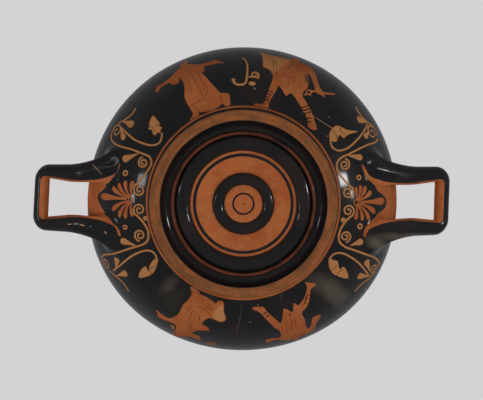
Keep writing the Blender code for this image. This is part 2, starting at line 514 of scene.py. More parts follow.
    def root_rings(self, side: int, flip: float, upright: Vector, spots: tuple) -> list[list[Vector]]:
        """Rings that draw an arm out of the wall, each column on one smooth curve.

        Args:
            side: +1 for the handle at +X, -1 for the one at -X.
            flip: +1 for its arm at +Y, -1 for the other.
            upright: Direction of the arm's upper side.
            spots: Middle and growth of the arm's first two rings.

        Returns:
            The rings, from the wall outwards.
        """
        outward = Vector((0.0, flip, 0.0))
        middle = self.root_loop(side, flip, self.strip_at_root).mean(0)
        rings = []
        for step in range(self.root_steps):
            share = step / self.root_steps
            strip = self.root_strip(share)
            loop = self.root_loop(side, flip, strip)
            normals = self.section.wall_normals(loop)
            starts = self.lifted(loop)[0]
            slopes = self.fillet_share(np.array(self.turns(strip)))
            ends, after = (self.ring(spot, outward, upright, strip, wide) for spot, wide in spots)
            ring = []
            columns = zip(loop, starts, normals, slopes, ends, after)
            for place, start, normal, slope, end, beyond in columns:
                inward = middle - place
                inward = inward - normal * inward.dot(normal)
                inward /= np.linalg.norm(inward)
                begin = Vector(start)
                pull = self.pull * (end - begin).length
                heading = Vector(inward + normal * (2 * slope)).normalized() * (pull / 2)
                leaving = (beyond - end).normalized() * pull
                ring.append(bezier(begin, begin + heading, end - leaving, end, share))
            rings.append(ring)
        return rings

    def arm(self, side: int, flip: float) -> list[list[Vector]]:
        """Rings of half a handle, from a root to the middle of the bar."""
        along, upright, bar = self.frame_of(side)
        across = Vector((0.0, flip, 0.0))
        if side > 0:
            width, growth, last_growth = self.width_right, self.growth_right, self.corner_growth_right
        else:
            width, growth, last_growth = self.width_left, self.growth_left, self.corner_growth_left
        half_span = width / 2 - self.tube / 2 * (1 + last_growth)
        bend = self.tube / 2 + self.inner_corner
        level_run = self.projection(side) - self.tube / 2 - self.root_clearance
        run = level_run / math.cos(math.radians(self.rise))
        start = bar - along * run + across * (half_span - self.converge)
        spots = []
        for step in range(self.arm_steps):
            share = step / self.arm_steps
            centre = start + along * ((run - bend) * share) + across * (self.converge * share)
            spots.append((centre, growth + (last_growth - growth) * share))
        half = self.root_rings(side, flip, upright, spots[:2])
        strip = self.strip_on_arm
        half += [self.ring(centre, across, upright, strip, swell) for centre, swell in spots]
        pivot = bar - along * bend + across * (half_span - bend)
        for step in range(self.corner_steps + 1):
            share = step / self.corner_steps
            turn = math.pi / 2 * share
            outward = across * math.cos(turn) + along * math.sin(turn)
            strip = self.strip_on_arm + (self.strip_on_bar - self.strip_on_arm) * share
            swell = last_growth * (1 - share)
            half.append(self.ring(pivot + outward * bend, outward, upright, strip, swell))
        for step in range(1, self.bar_steps + 1):
            centre = bar + across * ((half_span - bend) * (1 - step / self.bar_steps))
            half.append(self.ring(centre, along, upright, self.strip_on_bar))
        return [[self.skewed(point, side) for point in ring] for ring in half]

    def build(self, name: str, side: int, sheet: "Sheet") -> bpy.types.Object:
        """Draw one handle out of a circle, ring by ring.

        Args:
            name: Name of the new object.
            side: +1 for the handle at +X, -1 for the one at -X.
            sheet: Where its faces are laid out.

        Returns:
            The open tube, with its reserved strip marked.
        """
        rings = self.arm(side, 1.0) + self.arm(side, -1.0)[-2::-1]
        columns = self.strip_columns + self.black_columns
        bpy.ops.mesh.primitive_circle_add(vertices=columns, radius=self.tube / 2, calc_uvs=False)
        obj = bpy.context.object
        obj.name = name
        shape = edit(obj)
        bpy.ops.mesh.select_all(action="SELECT")
        column_of = {vert.index: vert.index for vert in shape.verts}
        place_ring(obj, column_of, rings[0])
        for ring in rings[1:]:
            known = len(column_of)
            bpy.ops.mesh.extrude_edges_move()
            shape = edit_mesh(obj)
            for vert in shape.verts[known:]:
                neighbours = (edge.other_vert(vert).index for edge in vert.link_edges)
                before = next(index for index in neighbours if index < known)
                column_of[vert.index] = column_of[before]
            newest = {index: column_of[index] for index in range(known, known + columns)}
            place_ring(obj, newest, ring)
        leave_edit()
        mark_strip(obj, column_of, self.strip_columns)
        self.lay_out(obj, column_of, rings, sheet, side)
        return obj

    def lay_out(
        self, obj: bpy.types.Object, column_of: dict[int, int], rings: list, sheet: "Sheet", side: int
    ) -> None:
        """Unroll the tube onto its strip of the sheet, cut open along its first column."""
        columns = self.strip_columns + self.black_columns
        middles = [sum(ring, Vector()) / columns for ring in rings]
        along = [0.0]
        for before, after in zip(middles, middles[1:]):
            along.append(along[-1] + (after - before).length / MILLI)
        width = math.pi * self.tube / MILLI / columns
        places = []
        for polygon in obj.data.polygons:
            across = [column_of[index] for index in polygon.vertices]
            if max(across) - min(across) > 1:
                across = [column or columns for column in across]
            places += [(along[i // columns], c * width) for i, c in zip(polygon.vertices, across)]
        sheet.write(obj, np.array(places), (sheet.margin, sheet.strips[side > 0]))


def bezier(start: Vector, start_pull: Vector, end_pull: Vector, end: Vector, share: float) -> Vector:
    """Point of a cubic curve at a share of its length."""
    rest = 1 - share
    first = rest**3 * start + 3 * rest**2 * share * start_pull
    return first + 3 * rest * share**2 * end_pull + share**3 * end


def place_ring(obj: bpy.types.Object, columns: dict[int, int], ring: list[Vector]) -> None:
    """Move the vertices of the newest ring to their places.

    Args:
        obj: The object in edit mode.
        columns: Column of each vertex, by its index.
        ring: Places, by column.
    """
    shape = edit_mesh(obj)
    for index, column in columns.items():
        shape.verts[index].co = ring[column]
    bmesh.update_edit_mesh(obj.data)


def mark_strip(obj: bpy.types.Object, column_of: dict[int, int], last: int) -> None:
    """Mark the faces of a handle that lie in its reserved strip."""
    values = []
    for polygon in obj.data.polygons:
        columns = [column_of[index] for index in polygon.vertices]
        values.append(Paint.CLAY.value if max(columns) <= last else Paint.GLAZE.value)
    write_paint(obj, values)


def write_paint(obj: bpy.types.Object, values: list[float]) -> None:
    """Store what each face is painted as."""
    layer = obj.data.attributes.new("paint", "FLOAT", "FACE")
    layer.data.foreach_set("value", values)


@dataclass(frozen=True)
class Sheet:
    """Where the cup's surfaces lie on the square of their UV layout, in millimetres.

    The outside and the inside are two discs, and each handle is one strip above them.
    """

    side: float = 534.0
    outside: Point = (158.0, 158.0)
    inside: Point = (387.0, 387.0)
    strips: tuple = (496.0, 456.0)
    margin: float = 4.0
    layer: str = "OFBake"

    def write(self, obj: bpy.types.Object, places: np.ndarray, middle: Point) -> None:
        """Lay an object's faces out.

        Args:
            obj: The object.
            places: A row of two lengths for each corner of its faces.
            middle: Where the point (0, 0) of those rows lies on the square.
        """
        layer = obj.data.uv_layers.new(name=self.layer)
        spread = (places + np.array(middle)) / self.side
        layer.uv.foreach_set("vector", spread.astype(np.float32).ravel())

    @staticmethod
    def corners(obj: bpy.types.Object) -> np.ndarray:
        """Which vertex each corner of an object's faces is."""
        indices = np.empty(len(obj.data.loops), np.int32)
        obj.data.loops.foreach_get("vertex_index", indices)
        return indices

    def write_turned(
        self, obj: bpy.types.Object, profile: Outline, middle: Point, reach: tuple[float, float]
    ) -> None:
        """Lay a turned surface out as a disc.

        Args:
            obj: The object.
            profile: The section it was turned from.
            middle: Middle of its disc.
            reach: Radius of the section's first and last point on the disc.
        """
        rows = np.array(profile)
        lengths = np.concatenate([[0.0], np.cumsum(np.hypot(*np.diff(rows, axis=0).T))])
        places = np.array([tuple(vert.co) for vert in obj.data.vertices])
        flat = np.column_stack([np.hypot(places[:, 0], places[:, 1]), places[:, 2]])
        nearest = np.linalg.norm(flat[:, None] - rows[None], axis=2).argmin(1)
        radius = reach[0] + (reach[1] - reach[0]) * lengths[nearest] / lengths[-1]
        away = places[:, :2] / np.maximum(flat[:, :1], SAME_POINT) * (1.0, -1.0)
        self.write(obj, (away * radius[:, None])[self.corners(obj)], middle)


@dataclass
class Cup:
    """The whole cup: foot, painted bowl, inside and handles, as one mesh."""

    section: Section
    handles: Handles
    painting: "Painting"
    sheet: Sheet = Sheet()
    name: str = "kylix_painted"
    same_way: float = 0.9

    def turned(
        self, name: str, profile: Outline, paint: Paint, middle: Point, reach: tuple[float, float]
    ) -> bpy.types.Object:
        """Turn a section about the axis, as on the wheel.

        Args:
            name: Name of the new object.
            profile: Radius and height of each point of the section.
            paint: What its faces are marked as.
            middle: Middle of its disc on the sheet.
            reach: Radius of its first and last point on that disc.

        Returns:
            The turned surface.
        """
        bpy.ops.mesh.primitive_plane_add(size=MILLI, calc_uvs=False)
        obj = bpy.context.object
        obj.name = name
        edit(obj)
        bpy.ops.mesh.select_all(action="SELECT")
        bpy.ops.mesh.merge(type="CENTER")
        last = (0.0, 0.0)
        for step, (radius, height) in enumerate(profile):
            move = {"value": (radius - last[0], 0.0, height - last[1])}
            if step:
                bpy.ops.mesh.extrude_vertices_move(TRANSFORM_OT_translate=move)
            else:
                bpy.ops.transform.translate(**move)
            last = (radius, height)
        bpy.ops.mesh.select_all(action="SELECT")
        bpy.ops.mesh.spin(
            steps=COLUMNS, dupli=False, angle=2 * math.pi, use_auto_merge=True,
            center=(0.0, 0.0, 0.0), axis=(0.0, 0.0, 1.0),
        )
        bpy.ops.mesh.select_all(action="SELECT")
        bpy.ops.mesh.remove_doubles(threshold=SAME_POINT)
        leave_edit()
        write_paint(obj, [paint.value] * len(obj.data.polygons))
        self.sheet.write_turned(obj, profile, middle, reach)
        return obj

    def painted_wall(self) -> bpy.types.Object:
        """The bowl's outside, with an edge of the mesh along each outline of its painting.

        Returns:
            The open surface between the foot's neck and the lip, less the handles' roots.
        """
        section = self.section
        openings = []
        for side in (-1, 1):
            for flip in (1.0, -1.0):
                loop = self.handles.root_loop(side, flip, self.handles.strip_at_root)
                openings.append([self.to_chart(point) for point in loop])
        chart, faces, values = self.painting.mesh(section, openings)
        points, normals = self.handles.lifted(section.on_wall(chart))
        mesh = bpy.data.meshes.new("wall")
        mesh.from_pydata(points.tolist(), [], faces)
        obj = bpy.data.objects.new("wall", mesh)
        bpy.context.collection.objects.link(obj)
        write_paint(obj, values)
        layer = mesh.attributes.new("facing", "FLOAT_VECTOR", "POINT")
        layer.data.foreach_set("vector", normals.astype(np.float32).ravel())
        self.sheet.write(obj, chart[self.sheet.corners(obj)], self.sheet.outside)
        return obj

    def to_chart(self, point: np.ndarray) -> Point:
        """Place on the chart of a point on the bowl's outside."""
        radius = math.hypot(point[0], point[1])
        scale = self.section.chart_radius(radius) / radius
        return float(point[0] * scale), float(-point[1] * scale)

    def build(self) -> bpy.types.Object:
        """Make the parts, join them into one closed mesh and give it smooth normals."""
        section, sheet = self.section, self.sheet
        reach = (0.0, section.chart_neck)
        foot = self.turned("foot", section.foot(), Paint.GLAZE, sheet.outside, reach)
        profile = section.inside()
        length = sum(math.dist(a, b) for a, b in zip(profile, profile[1:])) / MILLI
        inside = self.turned("inside", profile, Paint.INSIDE, sheet.inside, (length, 0.0))
        wall = self.painted_wall()
        left = self.handles.build("handle_left", -1, sheet)
        right = self.handles.build("handle_right", 1, sheet)
        select_none()
        for part in (foot, inside, wall, left, right):
            part.select_set(True)
        bpy.context.view_layer.objects.active = wall
        bpy.ops.object.join()
        wall.name = self.name
        edit(wall)
        bpy.ops.mesh.select_all(action="SELECT")
        bpy.ops.mesh.remove_doubles(threshold=SAME_POINT)
        bpy.ops.mesh.delete_loose()
        bpy.ops.mesh.select_all(action="SELECT")
        bpy.ops.mesh.normals_make_consistent(inside=False)
        leave_edit()
        bpy.ops.object.shade_smooth()
        self.set_normals(wall)
        self.warp(wall)
        return wall

    def warp(self, obj: bpy.types.Object) -> None:
        """Put the cup a little out of round."""
        places = np.empty(len(obj.data.vertices) * 3, np.float32)
        obj.data.vertices.foreach_get("co", places)
        moved = self.section.out_of_round(places.reshape(-1, 3).astype(float))
        obj.data.vertices.foreach_set("co", moved.astype(np.float32).ravel())
        obj.data.update()

    def set_normals(self, obj: bpy.types.Object) -> None:
        """Shade the bowl's outside by its true curve, not by its uneven triangles."""
        mesh = obj.data
        count = len(mesh.vertices)
        normals = np.empty(count * 3, np.float32)
        facing = np.empty(count * 3, np.float32)
        mesh.vertices.foreach_get("normal", normals)
        mesh.attributes["facing"].data.foreach_get("vector", facing)
        normals, facing = normals.reshape(-1, 3), facing.reshape(-1, 3)
        known = (normals * facing).sum(axis=1) > self.same_way
        normals[known] = facing[known]
        mesh.attributes.remove(mesh.attributes["facing"])
        mesh.normals_split_custom_set_from_vertices(normals.tolist())
        LOG.info("%s: %d points, %d on the painted wall", obj.name, count, int(known.sum()))


def signed_area(outline: Outline) -> float:
    """Area inside a closed outline, above 0 where it runs anticlockwise."""
    shifted = outline[1:] + outline[:1]
    return sum(a[0] * b[1] - b[0] * a[1] for a, b in zip(outline, shifted)) / 2


def smooth(points: Outline, closed: bool = True, steps: int = 4) -> Outline:
    """A smooth curve through some points.

    Args:
        points: Points chosen by hand.
        closed: Whether it comes back to the first point.
        steps: How many points each stretch gets.

    Returns:
        The curve's points.
    """
    count = len(points)
    spans = count if closed else count - 1
    curve = []
    for index in range(spans):
        if closed:
            around = [points[(index + offset) % count] for offset in (-1, 0, 1, 2)]
        else:
            around = [points[min(max(index + offset, 0), count - 1)] for offset in (-1, 0, 1, 2)]
        before, start, end, after = (np.array(point) for point in around)
        for step in range(steps):
            t = step / steps
            bend = 2 * start + (end - before) * t + (2 * before - 5 * start + 4 * end - after) * t**2
            bend = bend + (3 * start - before - 3 * end + after) * t**3
            curve.append(tuple(bend / 2))
    return curve if closed else curve + [tuple(map(float, points[-1]))]


def ribbon(line: Outline, width: float, start: float = 1.0, end: float = 1.0) -> Outline:
    """Closed outline of a brush stroke.

    Args:
        line: Middle of the stroke.
        width: Its width.
        start: Share of the width at its first end.
        end: Share of the width at its last end.

    Returns:
        The outline.
    """
    path = np.array(line)
    along = np.gradient(path, axis=0)
    along /= np.linalg.norm(along, axis=1)[:, None]
    shares = np.linspace(start, end, len(path))[:, None]
    aside = np.column_stack([-along[:, 1], along[:, 0]]) * shares * width / 2
    return [tuple(p) for p in path + aside] + [tuple(p) for p in (path - aside)[::-1]]


def coil(centre: Point, outer: float, inner: float, start: float, turns: float) -> Outline:
    """Line that winds inwards, anticlockwise where turns is above 0. Start is in degrees."""
    count = max(10, round(abs(turns) * 22))
    line = []
    for step in range(count + 1):
        share = step / count
        angle = math.radians(start) + 2 * math.pi * turns * share
        radius = outer + (inner - outer) * share
        line.append((centre[0] + radius * math.cos(angle), centre[1] + radius * math.sin(angle)))
    return line


def disc(centre: Point, radius: float, sides: int = 14) -> Outline:
    """A round spot."""
    turns = [2 * math.pi * side / sides for side in range(sides)]
    return [(centre[0] + radius * math.cos(t), centre[1] + radius * math.sin(t)) for t in turns]


def petal(base: Point, tip: Point, width: float, bend: float = 0.0, waist: float = 0.30) -> Outline:
    """A petal that widens from its base to a round end.

    Args:
        base: Where it springs from.
        tip: Middle of its round end.
        width: Its greatest width.
        bend: How far its middle bows to the left, as a share of its length.
        waist: Its width at the base, as a share of the greatest.

    Returns:
        The outline.
    """
    start, end = np.array(base), np.array(tip)
    along = end - start
    length = float(np.linalg.norm(along))
    along = along / length
    left = np.array([-along[1], along[0]])
    half = width / 2
    sides = ((0.0, waist), (0.35, 0.46), (0.66, 0.86), (0.84, 1.0), (0.955, 0.64), (1.0, 0.0))
    points = []
    for share, wide in sides + tuple((a, -b) for a, b in reversed(sides[:-1])):
        bow = 4 * bend * length * share * (1 - share)
        points.append(tuple(start + along * (share * length) + left * (half * wide + bow)))
    return smooth(points, True, 3)


@dataclass(frozen=True)
class Local:
    """A place on the chart with its own axes: u to the side and v outwards from the foot."""

    turn: float

    def place(self, points: Outline) -> Outline:
        """Chart points of local ones."""
        angle = math.radians(self.turn)
        out = (math.cos(angle), math.sin(angle))
        return [(u * out[1] + v * out[0], -u * out[0] + v * out[1]) for u, v in points]


@dataclass
class Painting:
    """Outlines on the bowl's outside in the order they are painted, each over those before it."""

    outlines: list[tuple[Outline, Paint]] = field(default_factory=list)
    ring_spacing: float = 2.6
    epsilon: float = 1e-5

    def add(self, outline: Outline, paint: Paint) -> None:
        """Add one closed outline."""
        self.outlines.append((outline, paint))

    def mesh(
        self, section: Section, openings: list[Outline]
    ) -> tuple[np.ndarray, list[tuple[int, int, int]], list[float]]:
        """Triangles between the foot's neck and the lip.

        Args:
            section: The cup's section.
            openings: Outlines that stay open, for the handles.

        Returns:
            The chart's points, the triangles and what each one is painted as.
        """
        first, last = section.chart_neck, section.chart_rim
        rings = max(2, round((last - first) / self.ring_spacing))
        turns = [2 * math.pi * step / COLUMNS for step in range(COLUMNS)]
        points = []
        polygons = []
        for step in range(rings + 1):
            radius = first + (last - first) * step / rings
            circle = [(radius * math.cos(turn), radius * math.sin(turn)) for turn in turns]
            points += circle
            if step in (0, rings):
                polygons.append(list(range(len(points) - COLUMNS, len(points))))
        layers = self.outlines + [(outline, Paint.OPENING) for outline in openings]
        for outline, _ in layers:
            if signed_area(outline) < 0:
                outline = outline[::-1]
            polygons.append(list(range(len(points), len(points) + len(outline))))
            points += outline
        kept, _, faces, origins, _, sources = delaunay_2d_cdt(
            [Vector(point) for point in points], [], polygons, 0, self.epsilon
        )
        triangles = []
        values = []
        neck, rim = 0, 1
        for face, source in zip(faces, sources):
            if neck in source or rim not in source:
                continue
            top = max(source)
            paint = layers[top - 2][1] if top > rim else Paint.GLAZE
            if paint is not Paint.OPENING:
                triangles.append(tuple(face))
                values.append(paint.value)
        stands_for = self.crossings(kept, origins, triangles)
        moved = [tuple(stands_for.get(corner, corner) for corner in face) for face in triangles]
        triangles, values = self.unfolded(moved, values)
        return np.array([tuple(point) for point in kept]), triangles, values

    @staticmethod
    def unfolded(triangles: list, values: list[float]) -> tuple[list, list[float]]:
        """Leave out triangles that have lost a corner or lie on one another, with their values."""
        folded = Counter(frozenset(face) for face in triangles)
        whole = [
            (face, value) for face, value in zip(triangles, values)
            if len(set(face)) == len(face) and folded[frozenset(face)] == 1
        ]
        return [face for face, _ in whole], [value for _, value in whole]

    @staticmethod
    def crossings(kept: list, origins: list, triangles: list) -> dict[int, int]:
        """Find the points where an outline crosses an open edge, which the next part lacks.

        Args:
            kept: The chart's points.
            origins: For each of them the given points it stands for, none at a crossing.
            triangles: Three points each.

        Returns:
            For each crossing the nearest given point along the edge, which takes its place.
        """
        shared = Counter(
            tuple(sorted(pair)) for face in triangles for pair in zip(face, face[1:] + face[:1])
        )
        ends = [pair for pair, count in shared.items() if count == 1]
        nearest = {}
        for first, second in ends + [pair[::-1] for pair in ends]:
            if origins[first] or not origins[second]:
                continue
            gap = (kept[first] - kept[second]).length
            nearest[first] = min(nearest.get(first, (gap, second)), (gap, second))
        return {crossing: point for crossing, (_, point) in nearest.items()}


@dataclass(frozen=True)
class Florals:
    """Ornament round one handle, in chart millimetres.

    The clay panel between the arms ends in a point towards the foot. A palmette on two volutes
    stands in it, and a tendril with spirals, a bud and leaves runs off to either side.
    """

    panel: tuple
    heart: Point
    petals: tuple
    coils: tuple
    strokes: tuple
    leaves: tuple
    buds: tuple
    rings: tuple
    spots: tuple
    veins: tuple = ()
    vein_width: float = 0.75
    stroke_width: float = 1.5
    petal_start: float = 0.15
    arc_steps: int = 8
    heart_radius: float = 2.6
    eye_radius: float = 1.5
    coil_end: float = 0.9
    ring_hole: float = 0.45
    leaf_waist: float = 0.12

    def paint(self, painting: "Painting", rim: float) -> None:
        """Paint the ornament.

        Args:
            painting: What it is added to.
            rim: Chart radius at which the panel ends under the lip.
        """
        edge = list(self.panel)
        first, last = edge[-1], edge[0]
        start, end = math.atan2(first[1], first[0]), math.atan2(last[1], last[0])
        if end - start > math.pi:
            end -= 2 * math.pi
        if start - end > math.pi:
            end += 2 * math.pi
        steps = self.arc_steps
        turns = [start + (end - start) * step / steps for step in range(steps + 1)]
        arc = [(rim * math.cos(turn), rim * math.sin(turn)) for turn in turns]
        inner = []
        for x, y in smooth(edge, False, 3):
            pull = min(1.0, rim / math.hypot(x, y))
            inner.append((x * pull, y * pull))
        painting.add(inner + arc[1:-1], Paint.CLAY)
        for tip, width, bend in self.petals:
            base = tuple(h + (t - h) * self.petal_start for h, t in zip(self.heart, tip))
            painting.add(petal(base, tip, width, bend), Paint.CLAY)
        painting.add(disc(self.heart, self.heart_radius), Paint.CLAY)
        painting.add(disc(self.heart, self.eye_radius), Paint.GLAZE)
        for line, width in self.strokes:
            painting.add(ribbon(smooth(list(line), False, 4), width, 1.0, 0.9), Paint.PALE_CLAY)
        for centre, outer, start_turn, turns_in in self.coils:
            line = coil(centre, outer, self.coil_end, start_turn, turns_in)
            painting.add(ribbon(line, self.stroke_width, 1.0, 0.8), Paint.PALE_CLAY)
        for bud in self.buds:
            painting.add(smooth(list(bud), True, 4), Paint.PALE_CLAY)
        for line in self.veins:
            vein = ribbon(smooth(list(line), False, 4), self.vein_width, 0.7, 0.7)
            painting.add(vein, Paint.GLAZE)
        for stalk, tip, width in self.leaves:
            painting.add(petal(stalk, tip, width, 0.0, self.leaf_waist), Paint.PALE_CLAY)
        for centre, radius in self.rings:
            painting.add(disc(centre, radius, 18), Paint.PALE_CLAY)
            painting.add(disc(centre, radius * self.ring_hole, 12), Paint.GLAZE)
        for centre, radius in self.spots:
            painting.add(disc(centre, radius), Paint.PALE_CLAY)


LEFT_FLORALS = Florals(
    panel=(
        (-152.8, 20.6), (-140.0, 20.1), (-124.0, 20.6), (-110.0, 22.6), (-104.0, 27.6),
        (-101.6, 33.0), (-101.1, 35.0), (-99.6, 30.0), (-100.9, 26.3), (-103.3, 22.6),
        (-107.0, 17.5), (-112.7, 12.5), (-120.0, 7.6), (-124.0, 4.4), (-123.8, 0.0),
        (-118.1, -6.9), (-112.6, -11.1), (-108.0, -15.2), (-104.5, -18.1), (-101.5, -21.0),
        (-99.4, -24.6), (-98.8, -28.4), (-102.0, -26.4), (-105.0, -22.4), (-111.0, -19.9),
        (-124.0, -18.4), (-140.0, -18.4), (-152.8, -18.9),
    ),
    heart=(-89.4, 2.1),
    petals=(
        ((-119.7, 3.7), 5.7, 0.0), ((-107.0, 11.6), 3.9, 0.07), ((-101.0, 14.8), 3.5, 0.10),
        ((-94.6, 17.0), 3.5, 0.10), ((-87.8, 16.8), 3.5, 0.07), ((-107.0, -7.3), 4.2, -0.07),
        ((-100.4, -12.7), 3.6, -0.10), ((-94.2, -13.5), 3.4, -0.10), ((-88.0, -11.5), 3.0, -0.06),
    ),
    coils=(
        ((-82.3, 9.8), 5.2, 115.0, 1.6), ((-82.3, -5.9), 5.2, -115.0, -1.6),
        ((-79.4, 31.4), 4.4, 95.0, 1.6), ((-81.8, -26.2), 4.9, -95.0, -1.6),
        ((-108.6, 59.7), 6.6, 200.0, -1.5), ((-121.5, -55.9), 6.6, 150.0, 1.5),
    ),
    strokes=(
        (((-84.9, 13.5), (-80.5, 19.1), (-75.5, 25.1), (-72.6, 31.1), (-74.5, 36.1),
          (-80.0, 38.5), (-90.0, 42.1), (-100.0, 44.7), (-108.0, 48.1), (-113.0, 51.9),
          (-115.4, 57.1)), 1.6),
        (((-91.2, 78.6), (-94.4, 72.8), (-101.6, 69.0), (-108.6, 66.8)), 1.6),
        (((-104.5, 62.6), (-94.5, 54.7), (-86.4, 49.3), (-76.4, 45.7), (-69.6, 45.5), (-65.6, 48.7),
          (-64.6, 55.1)), 1.6),
        (((-84.5, -10.1), (-78.6, -16.3), (-75.0, -22.9), (-75.4, -29.9), (-80.0, -33.9),
          (-87.0, -36.3), (-100.0, -41.2), (-110.0, -44.9), (-120.0, -47.7), (-127.4, -52.3)), 1.6),
        (((-112.0, -61.3), (-100.0, -52.1), (-90.9, -44.8), (-81.8, -39.8), (-74.5, -38.2),
          (-69.5, -41.0), (-67.6, -46.9)), 1.6),
        (((-118.0, -62.6), (-109.0, -66.6), (-101.4, -71.4), (-97.6, -78.5)), 1.8),
    ),
    leaves=(
        ((-103.5, 68.1), (-90.6, 62.7), 6.2), ((-104.0, 61.1), (-98.3, 50.7), 5.0),
        ((-84.0, 38.6), (-97.6, 33.6), 5.8), ((-85.5, -34.9), (-99.0, -31.3), 5.4),
        ((-107.6, -57.4), (-104.4, -47.5), 5.8), ((-108.6, -65.3), (-95.6, -59.5), 5.6),
    ),
    buds=(
        ((-73.0, 69.5), (-69.0, 65.3), (-66.7, 63.0), (-67.7, 61.1), (-64.7, 59.2), (-65.8, 57.5),
         (-66.0, 54.5), (-67.9, 55.6), (-70.4, 53.1), (-72.4, 54.9), (-73.2, 57.7), (-76.3, 58.3),
         (-75.7, 61.1), (-75.9, 63.7), (-74.6, 67.5)),
        ((-67.4, -45.9), (-69.6, -53.9), (-75.0, -59.3), (-84.2, -62.1), (-82.6, -55.9),
         (-78.0, -51.5),
         (-75.6, -54.5), (-73.6, -49.5), (-70.2, -45.3)),
    ),
    veins=(
        ((-76.0, 60.1), (-73.5, 60.3), (-72.1, 58.7), (-71.3, 56.7)),
        ((-67.0, 63.5), (-69.2, 62.1), (-69.2, 59.5)),
        ((-69.4, -51.5), (-72.6, -51.9), (-75.0, -54.3)),
        ((-72.8, -58.7), (-74.0, -55.7), (-77.0, -54.3)),
    ),
    rings=(((-94.7, 23.0), 2.5), ((-94.6, -20.5), 2.1)),
    spots=(((-77.2, -12.5), 1.9),),
)
RIGHT_FLORALS = Florals(
    panel=(
        (152.8, -19.7), (140.0, -18.7), (124.0, -18.7), (110.5, -20.8), (105.0, -22.4),
        (101.5, -25.0), (98.5, -27.3), (97.4, -25.7), (98.1, -21.9), (100.2, -18.3),
        (103.1, -15.3), (107.8, -11.8), (112.0, -8.8), (116.6, -7.2), (121.7, -3.5),
        (122.6, 0.6), (120.5, 5.0), (115.2, 8.0), (110.6, 10.6), (106.4, 14.4), (102.6, 17.8),
        (99.0, 21.5), (97.2, 25.2), (95.9, 28.9), (95.3, 31.3), (97.6, 29.4), (101.0, 24.6),
        (106.0, 21.4), (112.0, 20.2), (124.0, 19.8), (140.0, 19.8), (152.8, 20.8),
    ),
    heart=(90.2, 1.0),
    petals=(
        ((119.6, 1.4), 5.9, 0.0), ((104.4, 9.8), 3.9, -0.07), ((98.8, 14.0), 3.5, -0.10),
        ((93.8, 14.8), 3.2, -0.10), ((89.6, 13.4), 2.8, -0.05), ((108.6, -8.0), 4.2, 0.07),
        ((102.6, -13.8), 3.6, 0.10), ((96.0, -14.0), 3.4, 0.10), ((89.8, -13.0), 3.2, 0.06),
    ),
    coils=(
        ((82.8, 9.2), 5.2, 65.0, -1.6), ((83.4, -5.6), 5.2, -65.0, 1.6),
        ((80.2, 31.0), 4.6, 85.0, -1.6), ((81.4, -26.2), 4.8, -85.0, 1.6),
        ((111.6, 60.4), 7.6, -20.0, 1.6), ((114.6, -57.8), 5.4, 30.0, -1.5),
    ),
    strokes=(
        (((85.4, 12.8), (79.8, 18.6), (75.0, 24.8), (73.6, 30.8), (76.5, 35.8),
          (84.0, 39.4), (94.0, 44.2), (104.0, 48.4), (113.0, 51.4), (118.6, 55.8)), 1.6),
        (((97.2, 82.4), (100.0, 76.2), (107.0, 70.0), (115.6, 67.2)), 1.8),
        (((107.5, 67.2), (99.0, 57.8), (91.0, 50.2), (83.0, 44.2), (75.0, 42.0), (69.6, 45.4),
          (68.6, 51.4)), 1.6),
        (((85.6, -9.8), (79.6, -16.0), (76.2, -23.2), (76.6, -30.2), (82.0, -34.8),
          (90.0, -37.8), (100.0, -41.8), (110.0, -45.8), (118.0, -50.8), (124.6, -57.2)), 1.7),
        (((111.0, -65.2), (104.0, -57.8), (95.0, -49.2), (86.0, -42.8), (79.0, -39.6), (72.6, -39.8),
          (68.8, -43.6)), 1.6),
        (((119.0, -62.2), (112.4, -67.4), (103.0, -70.8), (96.3, -76.5)), 1.8),
    ),
    leaves=(
        ((110.0, 69.3), (95.4, 70.4), 6.4), ((108.4, 61.8), (100.8, 54.2), 4.8),
        ((83.0, 38.4), (96.2, 36.8), 5.0), ((86.0, -33.6), (97.0, -30.6), 5.4),
        ((109.6, -59.2), (102.6, -47.8), 5.8), ((111.0, -64.7), (96.0, -61.2), 5.6),
    ),
    buds=(
        ((68.2, 50.8), (68.6, 57.2), (74.6, 62.4), (84.0, 59.4), (94.0, 58.8), (84.6, 55.4),
         (80.0, 52.2), (76.6, 54.8), (73.6, 49.2)),
        ((68.4, -42.8), (68.6, -50.2), (73.6, -57.2), (86.0, -61.8), (84.4, -55.2), (81.0, -51.2),
         (77.8, -52.8), (75.6, -46.2), (72.0, -45.0)),
    ),
    veins=(
        ((70.6, 58.2), (73.0, 55.4), (74.6, 52.8), (74.0, 50.2)),
        ((77.4, 61.4), (78.0, 57.8), (81.4, 55.2)),
        ((70.0, -52.8), (73.0, -52.0), (75.6, -49.4)), ((75.6, -58.6), (77.4, -55.2), (80.6, -53.4)),
    ),
    rings=(((92.6, 20.8), 2.3), ((94.0, -18.4), 2.5)),
    spots=(((79.2, -12.8), 2.0),),
)


@dataclass(frozen=True)
class Figure:
    """A running or leaning figure, a generic one, in the millimetres of its own place.

    Forms are its reserved areas, folds its brushed lines, gaps what is black inside it, and
    bands the short dark strokes on a shin.
    """

    local: Local
    forms: tuple
    folds: tuple = ()
    gaps: tuple = ()
    pale: tuple = ()
    bands: tuple = ()
    fold_width: float = 0.7
    band_width: float = 1.1

    def paint(self, painting: "Painting") -> None:
        """Paint the figure."""
        for form in self.forms:
            painting.add(self.local.place(smooth(list(form), True, 3)), Paint.CLAY)
        for form in self.pale:
            painting.add(self.local.place(smooth(list(form), True, 3)), Paint.PALE_CLAY)
        for fold in self.folds:
            line = self.local.place(smooth(list(fold), False, 4))
            painting.add(ribbon(line, self.fold_width, 0.7, 0.5), Paint.DILUTE)
        for band in self.bands:
            painting.add(self.local.place(ribbon(list(band), self.band_width)), Paint.GLAZE)
        for gap in self.gaps:
            painting.add(self.local.place(smooth(list(gap), True, 3)), Paint.GLAZE)


